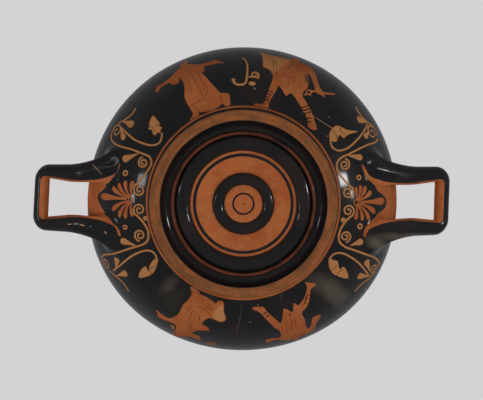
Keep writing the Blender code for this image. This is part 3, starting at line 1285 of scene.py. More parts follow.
RUNNER = Figure(
    local=Local(112.0),
    forms=(
        ((-34.2, 112.6), (-32.0, 112.0), (-29.4, 114.6), (-24.0, 115.4), (-20.4, 115.4),
         (-19.2, 112.6), (-15.0, 111.0), (-12.8, 111.8), (-10.8, 116.4), (-9.8, 112.0),
         (-9.6, 107.0), (-10.6, 102.0), (-12.4, 97.0), (-12.6, 92.0), (-11.8, 86.0),
         (-11.0, 81.0), (-12.4, 78.4), (-15.2, 76.4), (-10.0, 76.6), (-6.8, 77.2), (-6.2, 79.4),
         (-3.0, 78.4), (2.0, 77.4), (8.0, 77.4), (13.6, 78.8), (14.8, 76.4), (17.4, 75.4),
         (19.2, 76.2), (20.4, 80.0), (21.2, 84.4), (18.6, 86.4), (15.2, 88.0), (13.4, 93.0),
         (11.0, 100.0), (9.2, 107.0), (7.6, 111.8), (10.4, 113.4), (11.6, 118.4), (17.0, 117.2),
         (23.0, 116.4), (28.0, 113.8), (25.0, 118.4), (22.0, 121.6), (15.0, 121.4),
         (9.0, 122.8), (3.6, 126.2), (-1.0, 129.2), (-5.6, 129.8), (-10.6, 127.0),
         (-15.6, 123.6),
         (-20.4, 120.4), (-26.0, 118.6), (-31.6, 118.4), (-33.6, 116.0)),
        ((-3.6, 129.0), (-0.8, 131.4), (-0.6, 135.6), (-3.0, 138.8), (-6.4, 138.6), (-8.2, 135.4),
         (-7.6, 131.6), (-5.6, 129.4)),
    ),
    folds=(
        ((-11.4, 87.0), (-5.6, 87.6), (0.0, 88.6), (4.6, 91.2), (7.2, 96.4)),
        ((-0.4, 114.0), (0.2, 104.0), (1.4, 91.0)), ((4.6, 112.0), (5.2, 104.0), (6.0, 98.0)),
        ((-5.0, 112.0), (-5.2, 104.0), (-6.4, 96.0)), ((-8.0, 87.4), (-7.0, 82.6), (-5.6, 80.4)),
        ((-2.6, 122.0), (-2.8, 117.0)), ((14.6, 87.4), (13.8, 83.4), (14.2, 79.8)),
    ),
    gaps=(((-8.4, 133.0), (-7.4, 138.0), (-3.4, 140.2), (-0.4, 137.4), (-3.4, 137.0),
           (-6.0, 134.6)),),
)
HUNTER = Figure(
    local=Local(72.0),
    forms=(
        ((-27.0, 130.6), (-24.0, 125.0), (-21.6, 118.0), (-20.0, 112.2), (-18.6, 110.8),
         (-14.6, 110.6), (-11.8, 108.4), (-9.4, 105.0), (-8.8, 101.0), (-9.0, 95.0),
         (-9.4, 88.0), (-9.2, 82.0), (-10.4, 79.0), (-15.4, 77.6), (-16.6, 75.9), (-11.0, 76.4),
         (-5.0, 77.6), (-5.6, 81.0), (-4.8, 87.0), (-3.4, 93.0), (-2.6, 98.0), (0.4, 96.0),
         (3.4, 93.2), (5.6, 91.4), (7.2, 94.2), (9.4, 95.0), (12.0, 93.4), (15.6, 90.0),
         (20.4, 86.0), (24.0, 82.4), (27.6, 78.0), (29.4, 73.4), (33.0, 72.2), (36.6, 73.4),
         (34.6, 77.4), (30.6, 83.0), (26.4, 88.2), (22.2, 92.4), (18.2, 96.4), (18.2, 100.6),
         (20.4, 105.0), (19.8, 111.0), (18.4, 117.0), (17.8, 121.6), (20.6, 119.4),
         (23.6, 113.6), (26.4, 108.0), (28.2, 104.0), (33.0, 103.4), (36.2, 102.6),
         (36.0, 105.6), (41.0, 107.6), (45.0, 109.6), (44.6, 111.0), (39.6, 109.2),
         (35.0, 107.4), (31.4, 109.4), (28.6, 114.0), (26.6, 120.0), (23.6, 126.0),
         (18.6, 131.4),
         (11.0, 133.0), (3.0, 132.6), (-6.0, 131.4), (-16.0, 130.4)),
        ((3.8, 132.6), (7.6, 132.8), (9.0, 136.0), (7.8, 140.4), (4.4, 141.8), (1.6, 139.6),
         (1.8, 135.0)),
        ((20.2, 101.6), (21.4, 104.2), (24.2, 104.6), (29.0, 106.4), (30.0, 105.2), (25.2, 102.6),
         (24.6, 99.4), (21.6, 98.6), (19.0, 97.0), (19.8, 99.6)),
    ),
    folds=(
        ((3.8, 131.0), (2.8, 125.0), (0.2, 115.6)), ((-14.0, 123.0), (-12.0, 117.0), (-10.4, 111.0)),
        ((-7.4, 110.6), (-6.6, 106.0)), ((-2.6, 112.0), (-1.8, 105.0)), ((4.0, 110.0), (4.6, 101.0)),
        ((8.2, 112.0), (9.0, 104.0)), ((10.0, 101.4), (11.6, 95.6)), ((15.6, 118.0), (16.4, 110.0)),
        ((14.4, 106.0), (15.8, 100.0)), ((-16.6, 126.0), (-11.0, 121.0), (-8.0, 114.0)),
    ),
    pale=(((-26.6, 130.2), (-23.6, 124.6), (-21.2, 117.6), (-19.4, 112.4), (-14.6, 111.0),
           (-10.4, 109.6),
           (-6.4, 115.0), (-3.0, 122.0), (0.6, 131.0), (-6.0, 131.0), (-16.0, 130.0)),),
    bands=(
        ((-9.6, 91.2), (-5.4, 90.4)), ((-9.8, 88.6), (-5.8, 87.9)), ((-9.6, 86.0), (-6.0, 85.4)),
        ((-9.6, 83.4), (-6.2, 82.9)), ((20.2, 86.2), (24.8, 90.0)), ((21.8, 84.2), (26.4, 87.8)),
        ((23.6, 82.4), (28.2, 85.6)), ((26.8, 79.0), (29.4, 80.8)), ((28.0, 76.4), (30.6, 78.2)),
    ),
    gaps=(
        disc((22.2, 101.6), 1.3),
        ((17.0, 121.0), (17.8, 117.0), (19.2, 110.6), (18.2, 110.4), (16.8, 116.0)),
        ((1.6, 138.0), (3.0, 142.6), (7.2, 142.4), (8.8, 138.4), (5.6, 139.4)),
    ),
)
LEANER = Figure(
    local=Local(-112.0),
    forms=(
        ((-23.0, 92.6), (-21.6, 95.8), (-18.0, 96.8), (-13.0, 96.2), (-9.8, 97.2), (-8.0, 100.0),
         (-6.6, 104.6), (-8.6, 105.8), (-12.4, 106.6), (-14.8, 109.6), (-10.6, 111.6), (-6.0, 114.6),
         (-3.4, 118.0), (-3.0, 120.8), (-8.4, 121.0), (-10.8, 123.4), (-12.4, 127.0), (-8.4, 128.2),
         (-3.6, 127.4), (0.0, 130.6), (4.6, 134.0), (9.4, 136.4), (13.0, 134.6), (12.2, 129.0),
         (11.4, 123.4), (12.8, 119.0), (17.6, 118.4), (24.0, 119.4), (29.4, 119.6), (30.6, 116.0),
         (32.8, 111.8), (28.6, 113.0), (23.6, 114.2), (19.4, 113.8), (16.8, 110.6), (14.8, 107.0),
         (13.8, 103.0), (13.6, 98.0), (13.4, 94.4), (11.4, 89.4), (10.2, 84.0), (11.2, 80.6),
         (13.4, 77.0), (7.4, 77.2), (4.6, 79.6), (-1.6, 80.0), (-6.4, 81.0), (-10.4, 82.2),
         (-11.2, 79.4), (-15.0, 78.4), (-17.0, 81.6), (-19.2, 86.6), (-21.8, 90.0)),
        ((13.4, 127.6), (17.4, 122.6), (15.4, 121.4), (12.6, 123.0)),
        ((-26.6, 129.6), (-22.0, 130.6), (-17.6, 128.6), (-18.6, 126.4), (-22.4, 125.6),
         (-25.4, 123.6)),
        ((7.6, 135.8), (10.8, 137.0), (11.4, 141.0), (9.0, 143.6), (6.0, 142.4), (5.4, 138.6)),
    ),
    pale=(((-22.4, 92.8), (-20.8, 95.4), (-16.6, 95.8), (-12.6, 94.4), (-11.8, 90.4), (-13.0, 85.6),
           (-15.6, 81.0), (-18.4, 86.6), (-21.2, 90.2)),),
    folds=(
        ((-11.0, 94.4), (-7.0, 91.6), (-2.0, 90.4), (2.4, 90.4)), ((-4.0, 104.0), (-2.4, 98.0)),
        ((4.0, 108.0), (4.4, 100.0), (4.0, 96.0)), ((7.6, 99.0), (8.4, 93.6)),
        ((0.4, 118.0), (1.0, 108.0)),
        ((-9.0, 88.6), (-3.6, 88.2)), ((-9.0, 87.0), (-3.8, 86.6)), ((-8.4, 85.4), (-4.2, 85.0)),
        ((15.6, 112.0), (17.4, 107.6)), ((13.0, 119.6), (11.4, 124.0), (12.4, 131.0)),
    ),
)
STRIDER = Figure(
    local=Local(-70.0),
    forms=(
        ((-22.2, 125.4), (-24.2, 121.0), (-26.2, 116.6), (-29.2, 113.0), (-28.8, 110.6),
         (-22.6, 110.4), (-20.8, 114.6), (-19.2, 119.4), (-16.8, 122.6), (-15.0, 119.0),
         (-15.2, 113.0), (-15.6, 108.6), (-14.8, 103.6), (-15.6, 99.8), (-20.0, 97.0),
         (-23.2, 92.6), (-25.6, 87.6), (-27.4, 83.0), (-31.6, 81.8), (-32.4, 79.8),
         (-28.8, 77.6), (-25.4, 75.4), (-25.4, 79.4), (-23.6, 83.8), (-20.0, 88.6),
         (-16.8, 91.2), (-13.8, 92.6), (-11.4, 89.2), (-10.2, 91.4), (-8.2, 96.6), (-6.4, 95.4),
         (-4.6, 92.8), (-2.0, 91.0), (-0.2, 94.6), (1.8, 99.6), (4.2, 103.6), (6.2, 99.6),
         (8.6, 94.2), (11.2, 88.4), (12.6, 83.8), (15.6, 82.2), (19.4, 80.8), (21.6, 81.8),
         (18.4, 85.2), (15.8, 89.6), (13.8, 95.6), (12.0, 100.6), (10.2, 106.4), (8.0, 109.8),
         (7.2, 114.0), (8.2, 120.0), (12.0, 120.2), (16.0, 118.2), (21.4, 118.4), (22.4, 121.8),
         (19.4, 123.8), (14.0, 122.6), (9.4, 125.0), (5.4, 129.0), (-1.0, 131.0), (-8.0, 131.6),
         (-15.0, 130.4), (-19.6, 129.4)),
        ((-5.0, 131.2), (-2.0, 131.6), (-0.6, 135.0), (-2.4, 138.8), (-5.6, 139.0), (-7.4, 135.6)),
    ),
    folds=(
        ((-13.6, 109.0), (-12.0, 104.6), (-10.2, 101.8)), ((-6.6, 112.0), (-8.4, 101.0)),
        ((-2.4, 116.0), (-4.6, 104.0), (-5.0, 100.0)), ((2.0, 118.0), (0.4, 108.0), (-1.4, 101.0)),
        ((5.4, 112.0), (3.4, 106.0)),
    ),
    bands=(
        ((-24.4, 86.4), (-21.4, 88.8)), ((-22.8, 89.2), (-19.8, 91.0)),
        ((-20.8, 92.4), (-18.0, 93.6)),
        ((10.8, 91.6), (13.6, 92.6)), ((11.8, 88.8), (14.8, 89.8)),
    ),
    gaps=(((-7.4, 135.0), (-6.4, 139.8), (-2.4, 140.2), (-0.8, 137.0), (-4.0, 137.2)),
          disc((-5.0, 98.2), 0.9, 8)),
)


@dataclass(frozen=True)
class Scroll:
    """The small curling stem with a spiral and a leaf, between the two figures at the top."""

    local: Local = Local(90.0)
    stem: tuple = (
        (-8.6, 98.6), (-7.2, 95.4), (-3.6, 94.2), (0.6, 95.4), (2.0, 99.0), (2.6, 106.0),
        (2.8, 113.0), (1.4, 119.0), (-1.6, 122.6),
    )
    stem_width: float = 2.4
    stalk: tuple = ((2.6, 101.6), (6.0, 101.4), (10.0, 101.2))
    curl: Point = (8.6, 103.2)
    curl_radius: float = 3.6
    leaf: tuple = ((3.6, 95.9), (5.4, 97.2), (8.2, 96.8), (9.4, 95.2), (7.4, 93.6), (4.6, 94.0))

    def paint(self, painting: "Painting") -> None:
        """Paint the stem and what hangs on it."""
        place = self.local.place
        stem = ribbon(smooth(list(self.stem), False, 4), self.stem_width, 0.9, 0.5)
        painting.add(place(stem), Paint.PALE_CLAY)
        painting.add(place(disc(self.stem[0], 1.5)), Paint.PALE_CLAY)
        painting.add(place(ribbon(smooth(list(self.stalk), False, 4), 1.2)), Paint.PALE_CLAY)
        line = coil(self.curl, self.curl_radius, 0.9, -60.0, 1.25)
        painting.add(place(ribbon(line, 1.7, 1.0, 0.8)), Paint.PALE_CLAY)
        painting.add(place(smooth(list(self.leaf), True, 4)), Paint.PALE_CLAY)


@dataclass(frozen=True)
class Scar:
    """A crack, scratch or chip line, in chart millimetres."""

    line: tuple
    width: float
    paint: Paint

    def paint_on(self, painting: "Painting") -> None:
        """Draw the line, thin at both ends."""
        middle = len(self.line) // 2
        halves = (self.line[: middle + 1], self.line[middle:])
        there = ribbon(smooth(list(halves[0]), False, 4), self.width, 0.35, 1.0)
        back = ribbon(smooth(list(halves[1]), False, 4), self.width, 1.0, 0.35)
        painting.add(there, self.paint)
        painting.add(back, self.paint)


DULL_PATCH = (
    (-66.7, -73.8), (-45.7, -67.8), (-47.6, -78.2), (-52.2, -86.1), (-59.1, -95.4), (-62.7, -87.6),
)
SCARS = (
    Scar(((28.0, 133.0), (34.8, 129.2), (44.1, 124.5), (53.4, 121.9), (61.6, 118.8), (72.0, 118.0)),
         0.8, Paint.CRACK),
    Scar(((33.0, 142.5), (40.0, 138.6), (48.3, 133.1), (55.6, 126.8), (68.1, 122.9)),
         0.7, Paint.CRACK),
    Scar(((44.1, 123.5), (39.0, 116.0), (36.9, 111.4), (32.7, 103.5)), 0.6, Paint.CRACK),
    Scar(((-112.0, -104.0), (-99.9, -103.6), (-92.0, -101.4), (-85.8, -101.9)), 0.5, Paint.CRACK),
    Scar(((-96.4, -109.9), (-91.0, -114.0), (-87.4, -120.9), (-80.0, -128.0)), 0.5, Paint.CRACK),
    Scar(((-0.8, -81.0), (-1.5, -90.7), (-3.4, -100.4), (-5.0, -109.2)), 0.5, Paint.CRACK),
    Scar(((31.9, -65.5), (31.4, -71.0), (29.7, -76.9)), 0.5, Paint.CRACK),
    Scar(((49.2, 72.4), (58.9, 67.0), (68.7, 60.9), (77.2, 58.0)), 0.45, Paint.CHIP),
    Scar(((7.6, 91.6), (8.6, 91.0), (9.4, 90.2)), 0.9, Paint.CHIP),
)
SPECK_RADIUS = 0.45
GROUND_LINE = (5.4, 6.9)
LIP_MARGIN = 0.8
SPECKS = ((68.3, 69.2), (6.2, -96.3), (46.7, 72.4), (65.9, 53.5), (12.3, -80.9), (-34.5, -70.6))


def bowl_painting(section: Section) -> Painting:
    """All that is painted on the bowl's outside."""
    painting = Painting()
    inner, outer = (section.chart_neck + width for width in GROUND_LINE)
    painting.add(disc((0.0, 0.0), outer, COLUMNS), Paint.CLAY)
    painting.add(disc((0.0, 0.0), inner, COLUMNS), Paint.GLAZE)
    painting.add(list(DULL_PATCH), Paint.DULL)
    for florals in (LEFT_FLORALS, RIGHT_FLORALS):
        florals.paint(painting, section.chart_rim - LIP_MARGIN)
    Scroll().paint(painting)
    for figure in (RUNNER, HUNTER, LEANER, STRIDER):
        figure.paint(painting)
    for scar in SCARS:
        scar.paint_on(painting)
    for speck in SPECKS:
        painting.add(disc(speck, SPECK_RADIUS, 6), Paint.CHIP)
    return painting


class Value:
    """A number or colour in a shader, with the operators that add its Math nodes."""

    def __init__(self, shader: "Shader", socket: bpy.types.NodeSocket) -> None:
        """Wrap a node's output."""
        self.shader = shader
        self.socket = socket

    def math(self, operation: str, *others: "Value | float", clamp: bool = False) -> "Value":
        """The result of one Math node on this value and the others."""
        return self.shader.math(operation, self, *others, clamp=clamp)

    def __add__(self, other: "Value | float") -> "Value":
        """Sum."""
        return self.math("ADD", other)

    def __sub__(self, other: "Value | float") -> "Value":
        """Difference."""
        return self.math("SUBTRACT", other)

    def __rsub__(self, other: float) -> "Value":
        """Difference from a number."""
        return self.shader.math("SUBTRACT", other, self)

    def __mul__(self, other: "Value | float") -> "Value":
        """Product."""
        return self.math("MULTIPLY", other)

    def __truediv__(self, other: "Value | float") -> "Value":
        """Quotient."""
        return self.math("DIVIDE", other)

    def __rtruediv__(self, other: float) -> "Value":
        """Quotient of a number by this value."""
        return self.shader.math("DIVIDE", other, self)

    __radd__ = __add__
    __rmul__ = __mul__

    def above(self, limit: float, soft: float) -> "Value":
        """1 where the value is above a limit, 0 below it, with a soft edge that wide."""
        return self.math("MULTIPLY_ADD", 1 / soft, 0.5 - limit / soft, clamp=True)

    def between(self, low: float, high: float, soft: float) -> "Value":
        """1 between two limits, with soft edges."""
        return self.above(low, soft) * (1 - self.above(high, soft))


class Shader:
    """A node tree that is written as expressions."""

    def __init__(self, tree: bpy.types.NodeTree) -> None:
        """Start on an emptied tree."""
        tree.nodes.clear()
        self.tree = tree

    def node(
        self, kind: str, settings: dict | None = None, inputs: dict | None = None,
    ) -> bpy.types.Node:
        """Add one node.

        Args:
            kind: Its type, without the word that all of them start with.
            settings: Its settings. "stops" are a ramp's places and colours.
            inputs: A value or a link for its sockets, by name or number.

        Returns:
            The node.
        """
        node = self.tree.nodes.new("ShaderNode" + kind)
        for key, setting in (settings or {}).items():
            if key == "stops":
                self.set_stops(node.color_ramp, setting)
            else:
                setattr(node, key, setting)
        for key, given in (inputs or {}).items():
            if isinstance(given, Value):
                self.tree.links.new(given.socket, node.inputs[key])
            else:
                node.inputs[key].default_value = given
        return node

    @staticmethod
    def set_stops(ramp: bpy.types.ColorRamp, stops: list[tuple[float, tuple[float, ...]]]) -> None:
        """Give a colour ramp its stops."""
        while len(ramp.elements) < len(stops):
            ramp.elements.new(1.0)
        for element, (place, colour) in zip(ramp.elements, stops):
            element.position = place
            element.color = colour

    def value(self, node: bpy.types.Node, output: str | int = 0) -> Value:
        """One of a node's outputs."""
        return Value(self, node.outputs[output])

    def math(self, operation: str, *given: "Value | float", clamp: bool = False) -> Value:
        """The result of a Math node."""
        settings = {"operation": operation, "use_clamp": clamp}
        return self.value(self.node("Math", settings, dict(enumerate(given))))

    def mix(self, share: "Value | float", first: "Value | tuple", second: "Value | tuple") -> Value:
        """A mix of two colours."""
        node = self.node("Mix", {"data_type": "RGBA"}, {0: share, 6: first, 7: second})
        return self.value(node, 2)

    def noise(self, place: Value, scale: float, detail: float = 3.0, **inputs: float) -> Value:
        """Fractal noise between 0 and 1."""
        given = {"Vector": place, "Scale": scale, "Detail": detail, **inputs}
        return self.value(self.node("TexNoise", {}, given))


@dataclass(frozen=True)
class Band:
    """A ring painted on the wheel, between two radii in metres."""

    inner: float
    outer: float


@dataclass(frozen=True)
class Patch:
    """A stain or scrape, by its middle and half sizes in metres and its turn in degrees."""

    x: float
    y: float
    length: float
    width: float
    turn: float
    strength: float


@dataclass(frozen=True)
class Spot:
    """What the material knows of a point: its place, its noises and what it is part of."""

    place: Value
    x: Value
    y: Value
    broad: Value
    fine: Value
    streaks: Value
    brushed: Value
    paint: Value
    under: Value
    clay: Value
    rest: Value
    ridge: Value
    outside: Value


@dataclass(frozen=True)
class PaintedClay:
    """Black gloss over orange clay, worn and stained by age."""

    glaze: tuple = (0.0085, 0.0078, 0.0080, 1.0)
    glaze_brown: tuple = (0.024, 0.016, 0.011, 1.0)
    clay: tuple = (0.410, 0.117, 0.036, 1.0)
    clay_deep: tuple = (0.325, 0.078, 0.022, 1.0)
    clay_pale: tuple = (0.440, 0.190, 0.066, 1.0)
    foot_clay: tuple = (0.275, 0.092, 0.029, 1.0)
    foot_dark: tuple = (0.150, 0.062, 0.026, 1.0)
    dilute: tuple = (0.075, 0.024, 0.011, 1.0)
    crack: tuple = (0.110, 0.070, 0.046, 1.0)
    chip: tuple = (0.42, 0.24, 0.13, 1.0)
    rubbed: tuple = (0.15, 0.040, 0.018, 1.0)
    olive: tuple = (0.100, 0.084, 0.056, 1.0)
    glaze_roughness: float = 0.34
    clay_roughness: float = 0.70
    gloss_roughness: float = 0.09
    body_specular: float = 0.12
    foot_rings: tuple = (
        Band(0.0006, 0.0069), Band(0.0083, 0.0140), Band(0.0231, 0.0350), Band(0.0374, 0.0392),
    )
    rest_band: Band = Band(0.0617, 0.0705)
    ridge_band: Band = Band(0.0511, 0.0538)
    tondo_rings: tuple = (Band(0.0395, 0.0402), Band(0.0418, 0.0425))
    edge: float = 0.00014
    under_height: float = 0.0122
    rest_top: float = 0.0076
    dull: tuple = (0.0270, 0.0245, 0.0190, 1.0)
    broad_scale: float = 38.0
    fine_scale: float = 420.0
    streak_scale: float = 120.0
    brush_scale: float = 60.0
    brush_along: float = 0.05
    brush_across: float = 6.0
    ripple_scale: float = 85.0
    wobble: float = 0.0007
    level_edge: float = 0.0004
    tondo_low: float = 0.0165
    tondo_high: float = 0.0190
    paint_window: float = 0.06
    paint_edge: float = 0.02
    bump_distance: float = 0.0006
    stains: tuple = (
        Patch(0.1260, 0.0270, 0.0290, 0.0052, 4.0, 0.9),
        Patch(0.1020, 0.0310, 0.0160, 0.0066, 28.0, 0.9),
        Patch(0.0660, 0.0660, 0.0240, 0.0110, 40.0, 0.7),
        Patch(-0.0560, 0.0640, 0.0130, 0.0070, -50.0, 0.45),
    )
    scrapes: tuple = (
        Patch(-0.1104, -0.0236, 0.0058, 0.0003, 44.0, 0.8),
        Patch(-0.1324, 0.0186, 0.0018, 0.0004, 0.0, 0.9),
        Patch(-0.1224, 0.0189, 0.0024, 0.0005, 6.0, 0.9),
        Patch(-0.1156, 0.0198, 0.0009, 0.0006, 0.0, 0.5),
        Patch(-0.1040, 0.0238, 0.0013, 0.0007, 50.0, 0.9),
    )
    worn: tuple = (
        Patch(0.0979, -0.0285, 0.0100, 0.0065, 20.0, 0.9),
        Patch(-0.0990, -0.0300, 0.0100, 0.0065, -20.0, 0.8),
    )

    def build(self, name: str) -> bpy.types.Material:
        """Make the material."""
        material = bpy.data.materials.new(name)
        material.use_nodes = True
        shader = Shader(material.node_tree)
        spot = self.look_up(shader)
        colour = self.colour(shader, spot)
        matt = self.matt(spot)
        rougher = self.clay_roughness - self.glaze_roughness
        rough = self.glaze_roughness + matt * rougher + (spot.fine - 0.5) * 0.12
        surface = shader.node(
            "BsdfPrincipled", {},
            {
                "Base Color": colour, "Roughness": rough, "Normal": self.relief(shader, spot, matt),
                "Specular IOR Level": self.body_specular, "Coat Weight": 1 - matt,
                "Coat Roughness": self.gloss_roughness,
            },
        )
        output = shader.node("OutputMaterial", {}, {"Surface": shader.value(surface)})
        output.is_active_output = True
        return material

    def look_up(self, shader: Shader) -> Spot:
        """Read a point's place and paint, and work out its noises and what it is part of."""
        place = shader.value(shader.node("TexCoord"), "Object")
        split = shader.node("SeparateXYZ", {}, {0: place})
        x, y, z = (shader.value(split, axis) for axis in range(3))
        radius = (x * x + y * y).math("SQRT")
        broad = shader.noise(place, self.broad_scale, 4.0)
        fine = shader.noise(place, self.fine_scale, 4.0, Roughness=0.65)
        streaks = shader.noise(place, self.streak_scale, 5.0, Roughness=0.7)
        along = [axis / radius * self.brush_along for axis in (x, y)]
        drawn_out = {0: along[0], 1: along[1], 2: radius * self.brush_across}
        around = shader.value(shader.node("CombineXYZ", {}, drawn_out))
        brushed = shader.noise(around, self.brush_scale, 4.0, Roughness=0.6)
        wheel = radius + (broad - 0.5) * self.wobble
        paint = shader.value(shader.node("Attribute", {"attribute_name": "paint"}), "Fac")
        under = 1 - z.above(self.under_height, self.level_edge)
        rings = self.bands(wheel, self.foot_rings) * under
        rest = self.bands(wheel, (self.rest_band,)) * (1 - z.above(self.rest_top, self.level_edge))
        tondo = self.bands(wheel, self.tondo_rings) * z.above(self.tondo_low, self.level_edge)
        tondo = tondo * (1 - z.above(self.tondo_high, self.level_edge))
        return Spot(
            place, x, y, broad, fine, streaks, brushed, paint, under,
            clay=(paint.above(0.9, 0.1) + rings + tondo).math("MINIMUM", 1.0),
            rest=rest,
            ridge=self.bands(wheel, (self.ridge_band,)) * under * brushed.above(0.42, 0.25),
            outside=paint.above(Paint.INSIDE.value / 2, 0.1),
        )

    def colour(self, shader: Shader, spot: Spot) -> Value:
        """The colour of a point, from the bare clay up to the cracks and chips."""
        clay = shader.mix(spot.broad.above(0.5, 0.35), self.clay, self.clay_deep)
        clay = shader.mix(spot.streaks.above(0.56, 0.25) * 0.45, clay, self.clay_pale)
        darker = (spot.brushed * 0.6 + spot.streaks * 0.4).above(0.50, 0.16)
        foot = shader.mix(darker, self.foot_clay, self.foot_dark)
        glaze = shader.mix(spot.broad.above(0.58, 0.3) * 0.5, self.glaze, self.glaze_brown)
        for patch in self.stains:
            glaze = shader.mix(self.stain(spot, patch, spot.broad, 1.6, 0.7), glaze, self.olive)
        for patch in self.scrapes:
            glaze = shader.mix(self.stain(spot, patch, spot.streaks, 0.8, 0.1), glaze, self.chip)
        glaze = shader.mix(spot.ridge * 0.9, glaze, self.rubbed)
        colour = shader.mix(spot.clay, glaze, clay)
        colour = shader.mix(spot.rest, colour, foot)
        for kind, painted in (
            (Paint.DULL, self.dull), (Paint.CRACK, self.crack), (Paint.DILUTE, self.dilute),
            (Paint.CHIP, self.chip), (Paint.PALE_CLAY, self.clay_pale),
        ):
            low, high = kind.value - self.paint_window, kind.value + self.paint_window
            colour = shader.mix(spot.paint.between(low, high, self.paint_edge), colour, painted)
        return colour

    def matt(self, spot: Spot) -> Value:
        """How far the gloss is missing or worn off."""
        matt = spot.clay + spot.rest + spot.paint.above(0.07, 0.02) + spot.ridge * 0.6
        for patch in self.worn:
            matt = matt + self.stain(spot, patch, spot.broad, 0.8, 0.8)
        return matt.math("MINIMUM", 1.0)

    def relief(self, shader: Shader, spot: Spot, matt: Value) -> Value:
        """The fine unevenness of the surface, coarser where it is matt."""
        ripple = shader.noise(spot.place, self.ripple_scale, 2.0) * (1 - spot.under)
        height = ripple * 0.9 + spot.fine * 0.035 + spot.streaks * 0.05 + matt * spot.fine * 0.08
        relief = {"Strength": 1.0, "Distance": self.bump_distance, "Height": height}
        return shader.value(shader.node("Bump", {}, relief))

    def bands(self, radius: Value, bands: tuple) -> Value:
        """1 inside any of some rings, 0 outside them."""
        total = None
        for band in bands:
            ring = radius.between(band.inner, band.outer, self.edge)
            total = ring if total is None else total + ring
        return total

    def stain(
        self, spot: Spot, patch: Patch, noise: Value, ragged: float, soft: float,
    ) -> Value:
        """How much of a stain there is on the outside.

        Args:
            spot: What is known of the point.
            patch: The stain.
            noise: What its edge follows.
            ragged: How far it follows that.
            soft: How wide its edge is, as a share of its size.

        Returns:
            Its strength in the middle, falling to 0 outside it.
        """
        turn = math.radians(patch.turn)
        dx, dy = spot.x - patch.x, spot.y - patch.y
        along = (dx * math.cos(turn) + dy * math.sin(turn)) / patch.length
        across = (dy * math.cos(turn) - dx * math.sin(turn)) / patch.width
        reach = (along * along + across * across).math("SQRT") + (noise - 0.5) * ragged
        return (1 - reach.above(1 - soft / 2, soft)) * patch.strength * spot.outside


def add_light(
    name: str, kind: str, turn: float, away: float, up: float,
) -> tuple[bpy.types.Object, Vector]:
    """Add a light that faces the cup.

    Args:
        name: Its name.
        kind: Its type.
        turn: Its angle in degrees, anticlockwise from the right of the camera's view.
        away: Its angle in degrees from the upright through the cup.
        up: 1 if it stands above the cup, -1 if beneath.

    Returns:
        The light, and the direction in which it stands.
    """
    turn, away = math.radians(turn), math.radians(away)
    level = math.sin(away)
    heading = Vector((math.cos(turn) * level, -math.sin(turn) * level, up * math.cos(away)))
    light = bpy.data.objects.new(name, bpy.data.lights.new(name, kind))
    light.rotation_mode = "QUATERNION"
    light.rotation_quaternion = heading.to_track_quat("Z", "Y")
    bpy.context.scene.collection.objects.link(light)
    return light, heading


@dataclass(frozen=True)
class Softbox:
    """A soft light, by where it stands as the camera sees it.

    Its angles are in degrees, anticlockwise from the right of the view and away from the line
    of sight. Its distance and sizes are in metres, its power in watts. A fill light gives no
    reflection of its own.
    """

    name: str
    turn: float
    away: float
    power: float
    width: float
    height: float
    distance: float = 1.0
    aim_height: float = 0.02
    fill: bool = False

    def build(self) -> bpy.types.Object:
        """Add the light, facing the cup."""
        light, heading = add_light(self.name, "AREA", self.turn, self.away, -1.0)
        light.data.shape = "RECTANGLE"
        light.data.size = self.width
        light.data.size_y = self.height
        light.data.energy = self.power
        light.location = Vector((0.0, 0.0, self.aim_height)) + heading * self.distance
        light.visible_camera = False
        light.visible_glossy = not self.fill
        return light


@dataclass(frozen=True)
class Sun:
    """An even soft light from above, by its two angles as for a softbox and its spread in degrees."""

    turn: float = 130.0
    away: float = 35.0
    strength: float = 2.5
    spread: float = 25.0

    def build(self) -> bpy.types.Object:
        """Add the light."""
        light, _ = add_light("overhead", "SUN", self.turn, self.away, 1.0)
        light.data.energy = self.strength
        light.data.angle = math.radians(self.spread)
        light.visible_glossy = False
        return light


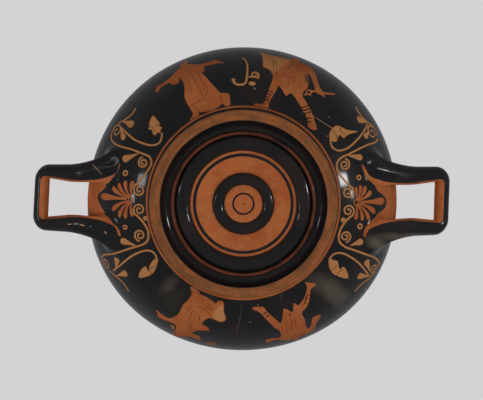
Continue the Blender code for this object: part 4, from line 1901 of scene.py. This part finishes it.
@dataclass(frozen=True)
class Stage:
    """Pale floor that hides nothing from beneath, a pale shell far round it, and the lights."""

    floor_size: float = 40.0
    floor_gap: float = 0.0002
    floor: tuple = (0.80, 0.795, 0.80, 1.0)
    shell_radius: float = 15.0
    shell: tuple = (0.658, 0.645, 0.651, 1.0)
    above: tuple = (0.185, 0.19, 0.205, 1.0)
    below: tuple = (0.13, 0.13, 0.135, 1.0)
    lights: tuple = (
        Softbox("left_fill", 190.0, 50.0, 3.8, 0.5, 0.5, fill=True),
        Softbox("right_fill", 5.0, 50.0, 3.6, 0.5, 0.5, fill=True),
        Softbox("front_fill", 275.0, 22.0, 1.8, 0.5, 0.5, fill=True),
        Softbox("left_low", 181.0, 58.5, 0.09, 0.05, 0.05),
        Softbox("left_high", 171.0, 51.0, 0.20, 0.09, 0.15),
        Softbox("right_high", 10.0, 51.0, 0.70, 0.09, 0.15),
        Softbox("right_low", 2.0, 58.5, 0.13, 0.05, 0.05),
        Sun(),
    )

    def build(self) -> None:
        """Add the floor, the shell, the surroundings and the lights."""
        bpy.ops.mesh.primitive_plane_add(size=self.floor_size, location=(0.0, 0.0, -self.floor_gap))
        shader = self.dressed("floor")
        pale = {"Base Color": self.floor, "Roughness": 0.8}
        matt = shader.value(shader.node("BsdfPrincipled", {}, pale))
        clear = shader.value(shader.node("BsdfTransparent"))
        behind = shader.value(shader.node("NewGeometry"), "Backfacing")
        mixed = shader.value(shader.node("MixShader", {}, {0: behind, 1: matt, 2: clear}))
        shader.node("OutputMaterial", {}, {"Surface": mixed})
        bpy.ops.mesh.primitive_uv_sphere_add(radius=self.shell_radius)
        shader = self.dressed("shell")
        glow = shader.value(shader.node("Emission", {}, {"Color": self.shell, "Strength": 1.0}))
        shader.node("OutputMaterial", {}, {"Surface": glow})
        self.surround()
        for light in self.lights:
            light.build()
        bpy.context.scene.view_settings.view_transform = "Standard"

    @staticmethod
    def dressed(name: str) -> Shader:
        """Name the newest mesh, let only the camera see it, and start its material."""
        sheet = bpy.context.object
        sheet.name = name
        for seen_by in ("diffuse", "glossy", "transmission", "shadow"):
            setattr(sheet, "visible_" + seen_by, False)
        material = bpy.data.materials.new(name + "_surface")
        material.use_nodes = True
        sheet.data.materials.append(material)
        return Shader(material.node_tree)

    def surround(self) -> None:
        """Light the scene dimly from all sides."""
        world = bpy.data.worlds.new("surroundings")
        world.use_nodes = True
        bpy.context.scene.world = world
        shader = Shader(world.node_tree)
        place = shader.value(shader.node("TexCoord"), "Generated")
        height = shader.value(shader.node("SeparateXYZ", {}, {0: place}), 2)
        colour = shader.mix(height.above(0.0, 0.6), self.below, self.above)
        glow = shader.value(shader.node("Background", {}, {"Color": colour}))
        shader.node("OutputWorld", {}, {0: glow})


@dataclass(frozen=True)
class PhotoView:
    """The camera under the cup, looking up at it. Lengths are in metres, angles in degrees."""

    target_height: float = 0.073
    distance: float = 1.2
    tilt: float = 2.85
    lean: float = 0.6
    roll: float = 0.43
    aside: float = 0.00078
    below: float = 0.00039
    focal_pixels: float = 1535.0
    frame_pixels: float = 483.0
    sensor: float = 36.0

    def build(self) -> bpy.types.Object:
        """Add the camera and make it the scene's own."""
        tilt, lean, roll = (math.radians(turn) for turn in (self.tilt, self.lean, self.roll))
        forward = Vector((math.tan(lean), math.tan(tilt), 1.0)).normalized()
        right = forward.cross(Vector((0.0, -1.0, 0.0))).normalized()
        up = right.cross(forward)
        place = Vector((0.0, 0.0, self.target_height)) - forward * self.distance
        place -= right * self.aside + up * self.below
        turned_right = right * math.cos(roll) + up * math.sin(roll)
        turned_up = up * math.cos(roll) - right * math.sin(roll)
        data = bpy.data.cameras.new("camera")
        data.sensor_width = self.sensor
        data.lens = self.focal_pixels / self.frame_pixels * self.sensor
        camera = bpy.data.objects.new("camera", data)
        bpy.context.scene.collection.objects.link(camera)
        axes = Matrix((turned_right, turned_up, -forward)).transposed()
        camera.matrix_world = Matrix.Translation(place) @ axes.to_4x4()
        bpy.context.scene.camera = camera
        return camera


def main() -> None:
    """Build the cup, the stage and the camera."""
    logging.basicConfig(level=logging.INFO, format="%(name)s: %(message)s")
    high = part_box(NODE)[1]
    section = Section(lip_height=high.z)
    handles = Handles(section)
    cup = Cup(section, handles, bowl_painting(section)).build()
    cup.data.materials.append(PaintedClay().build("painted_clay"))
    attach(cup, "root")
    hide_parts(NODE)
    Stage().build()
    PhotoView().build()


if __name__ == "__main__":
    main()
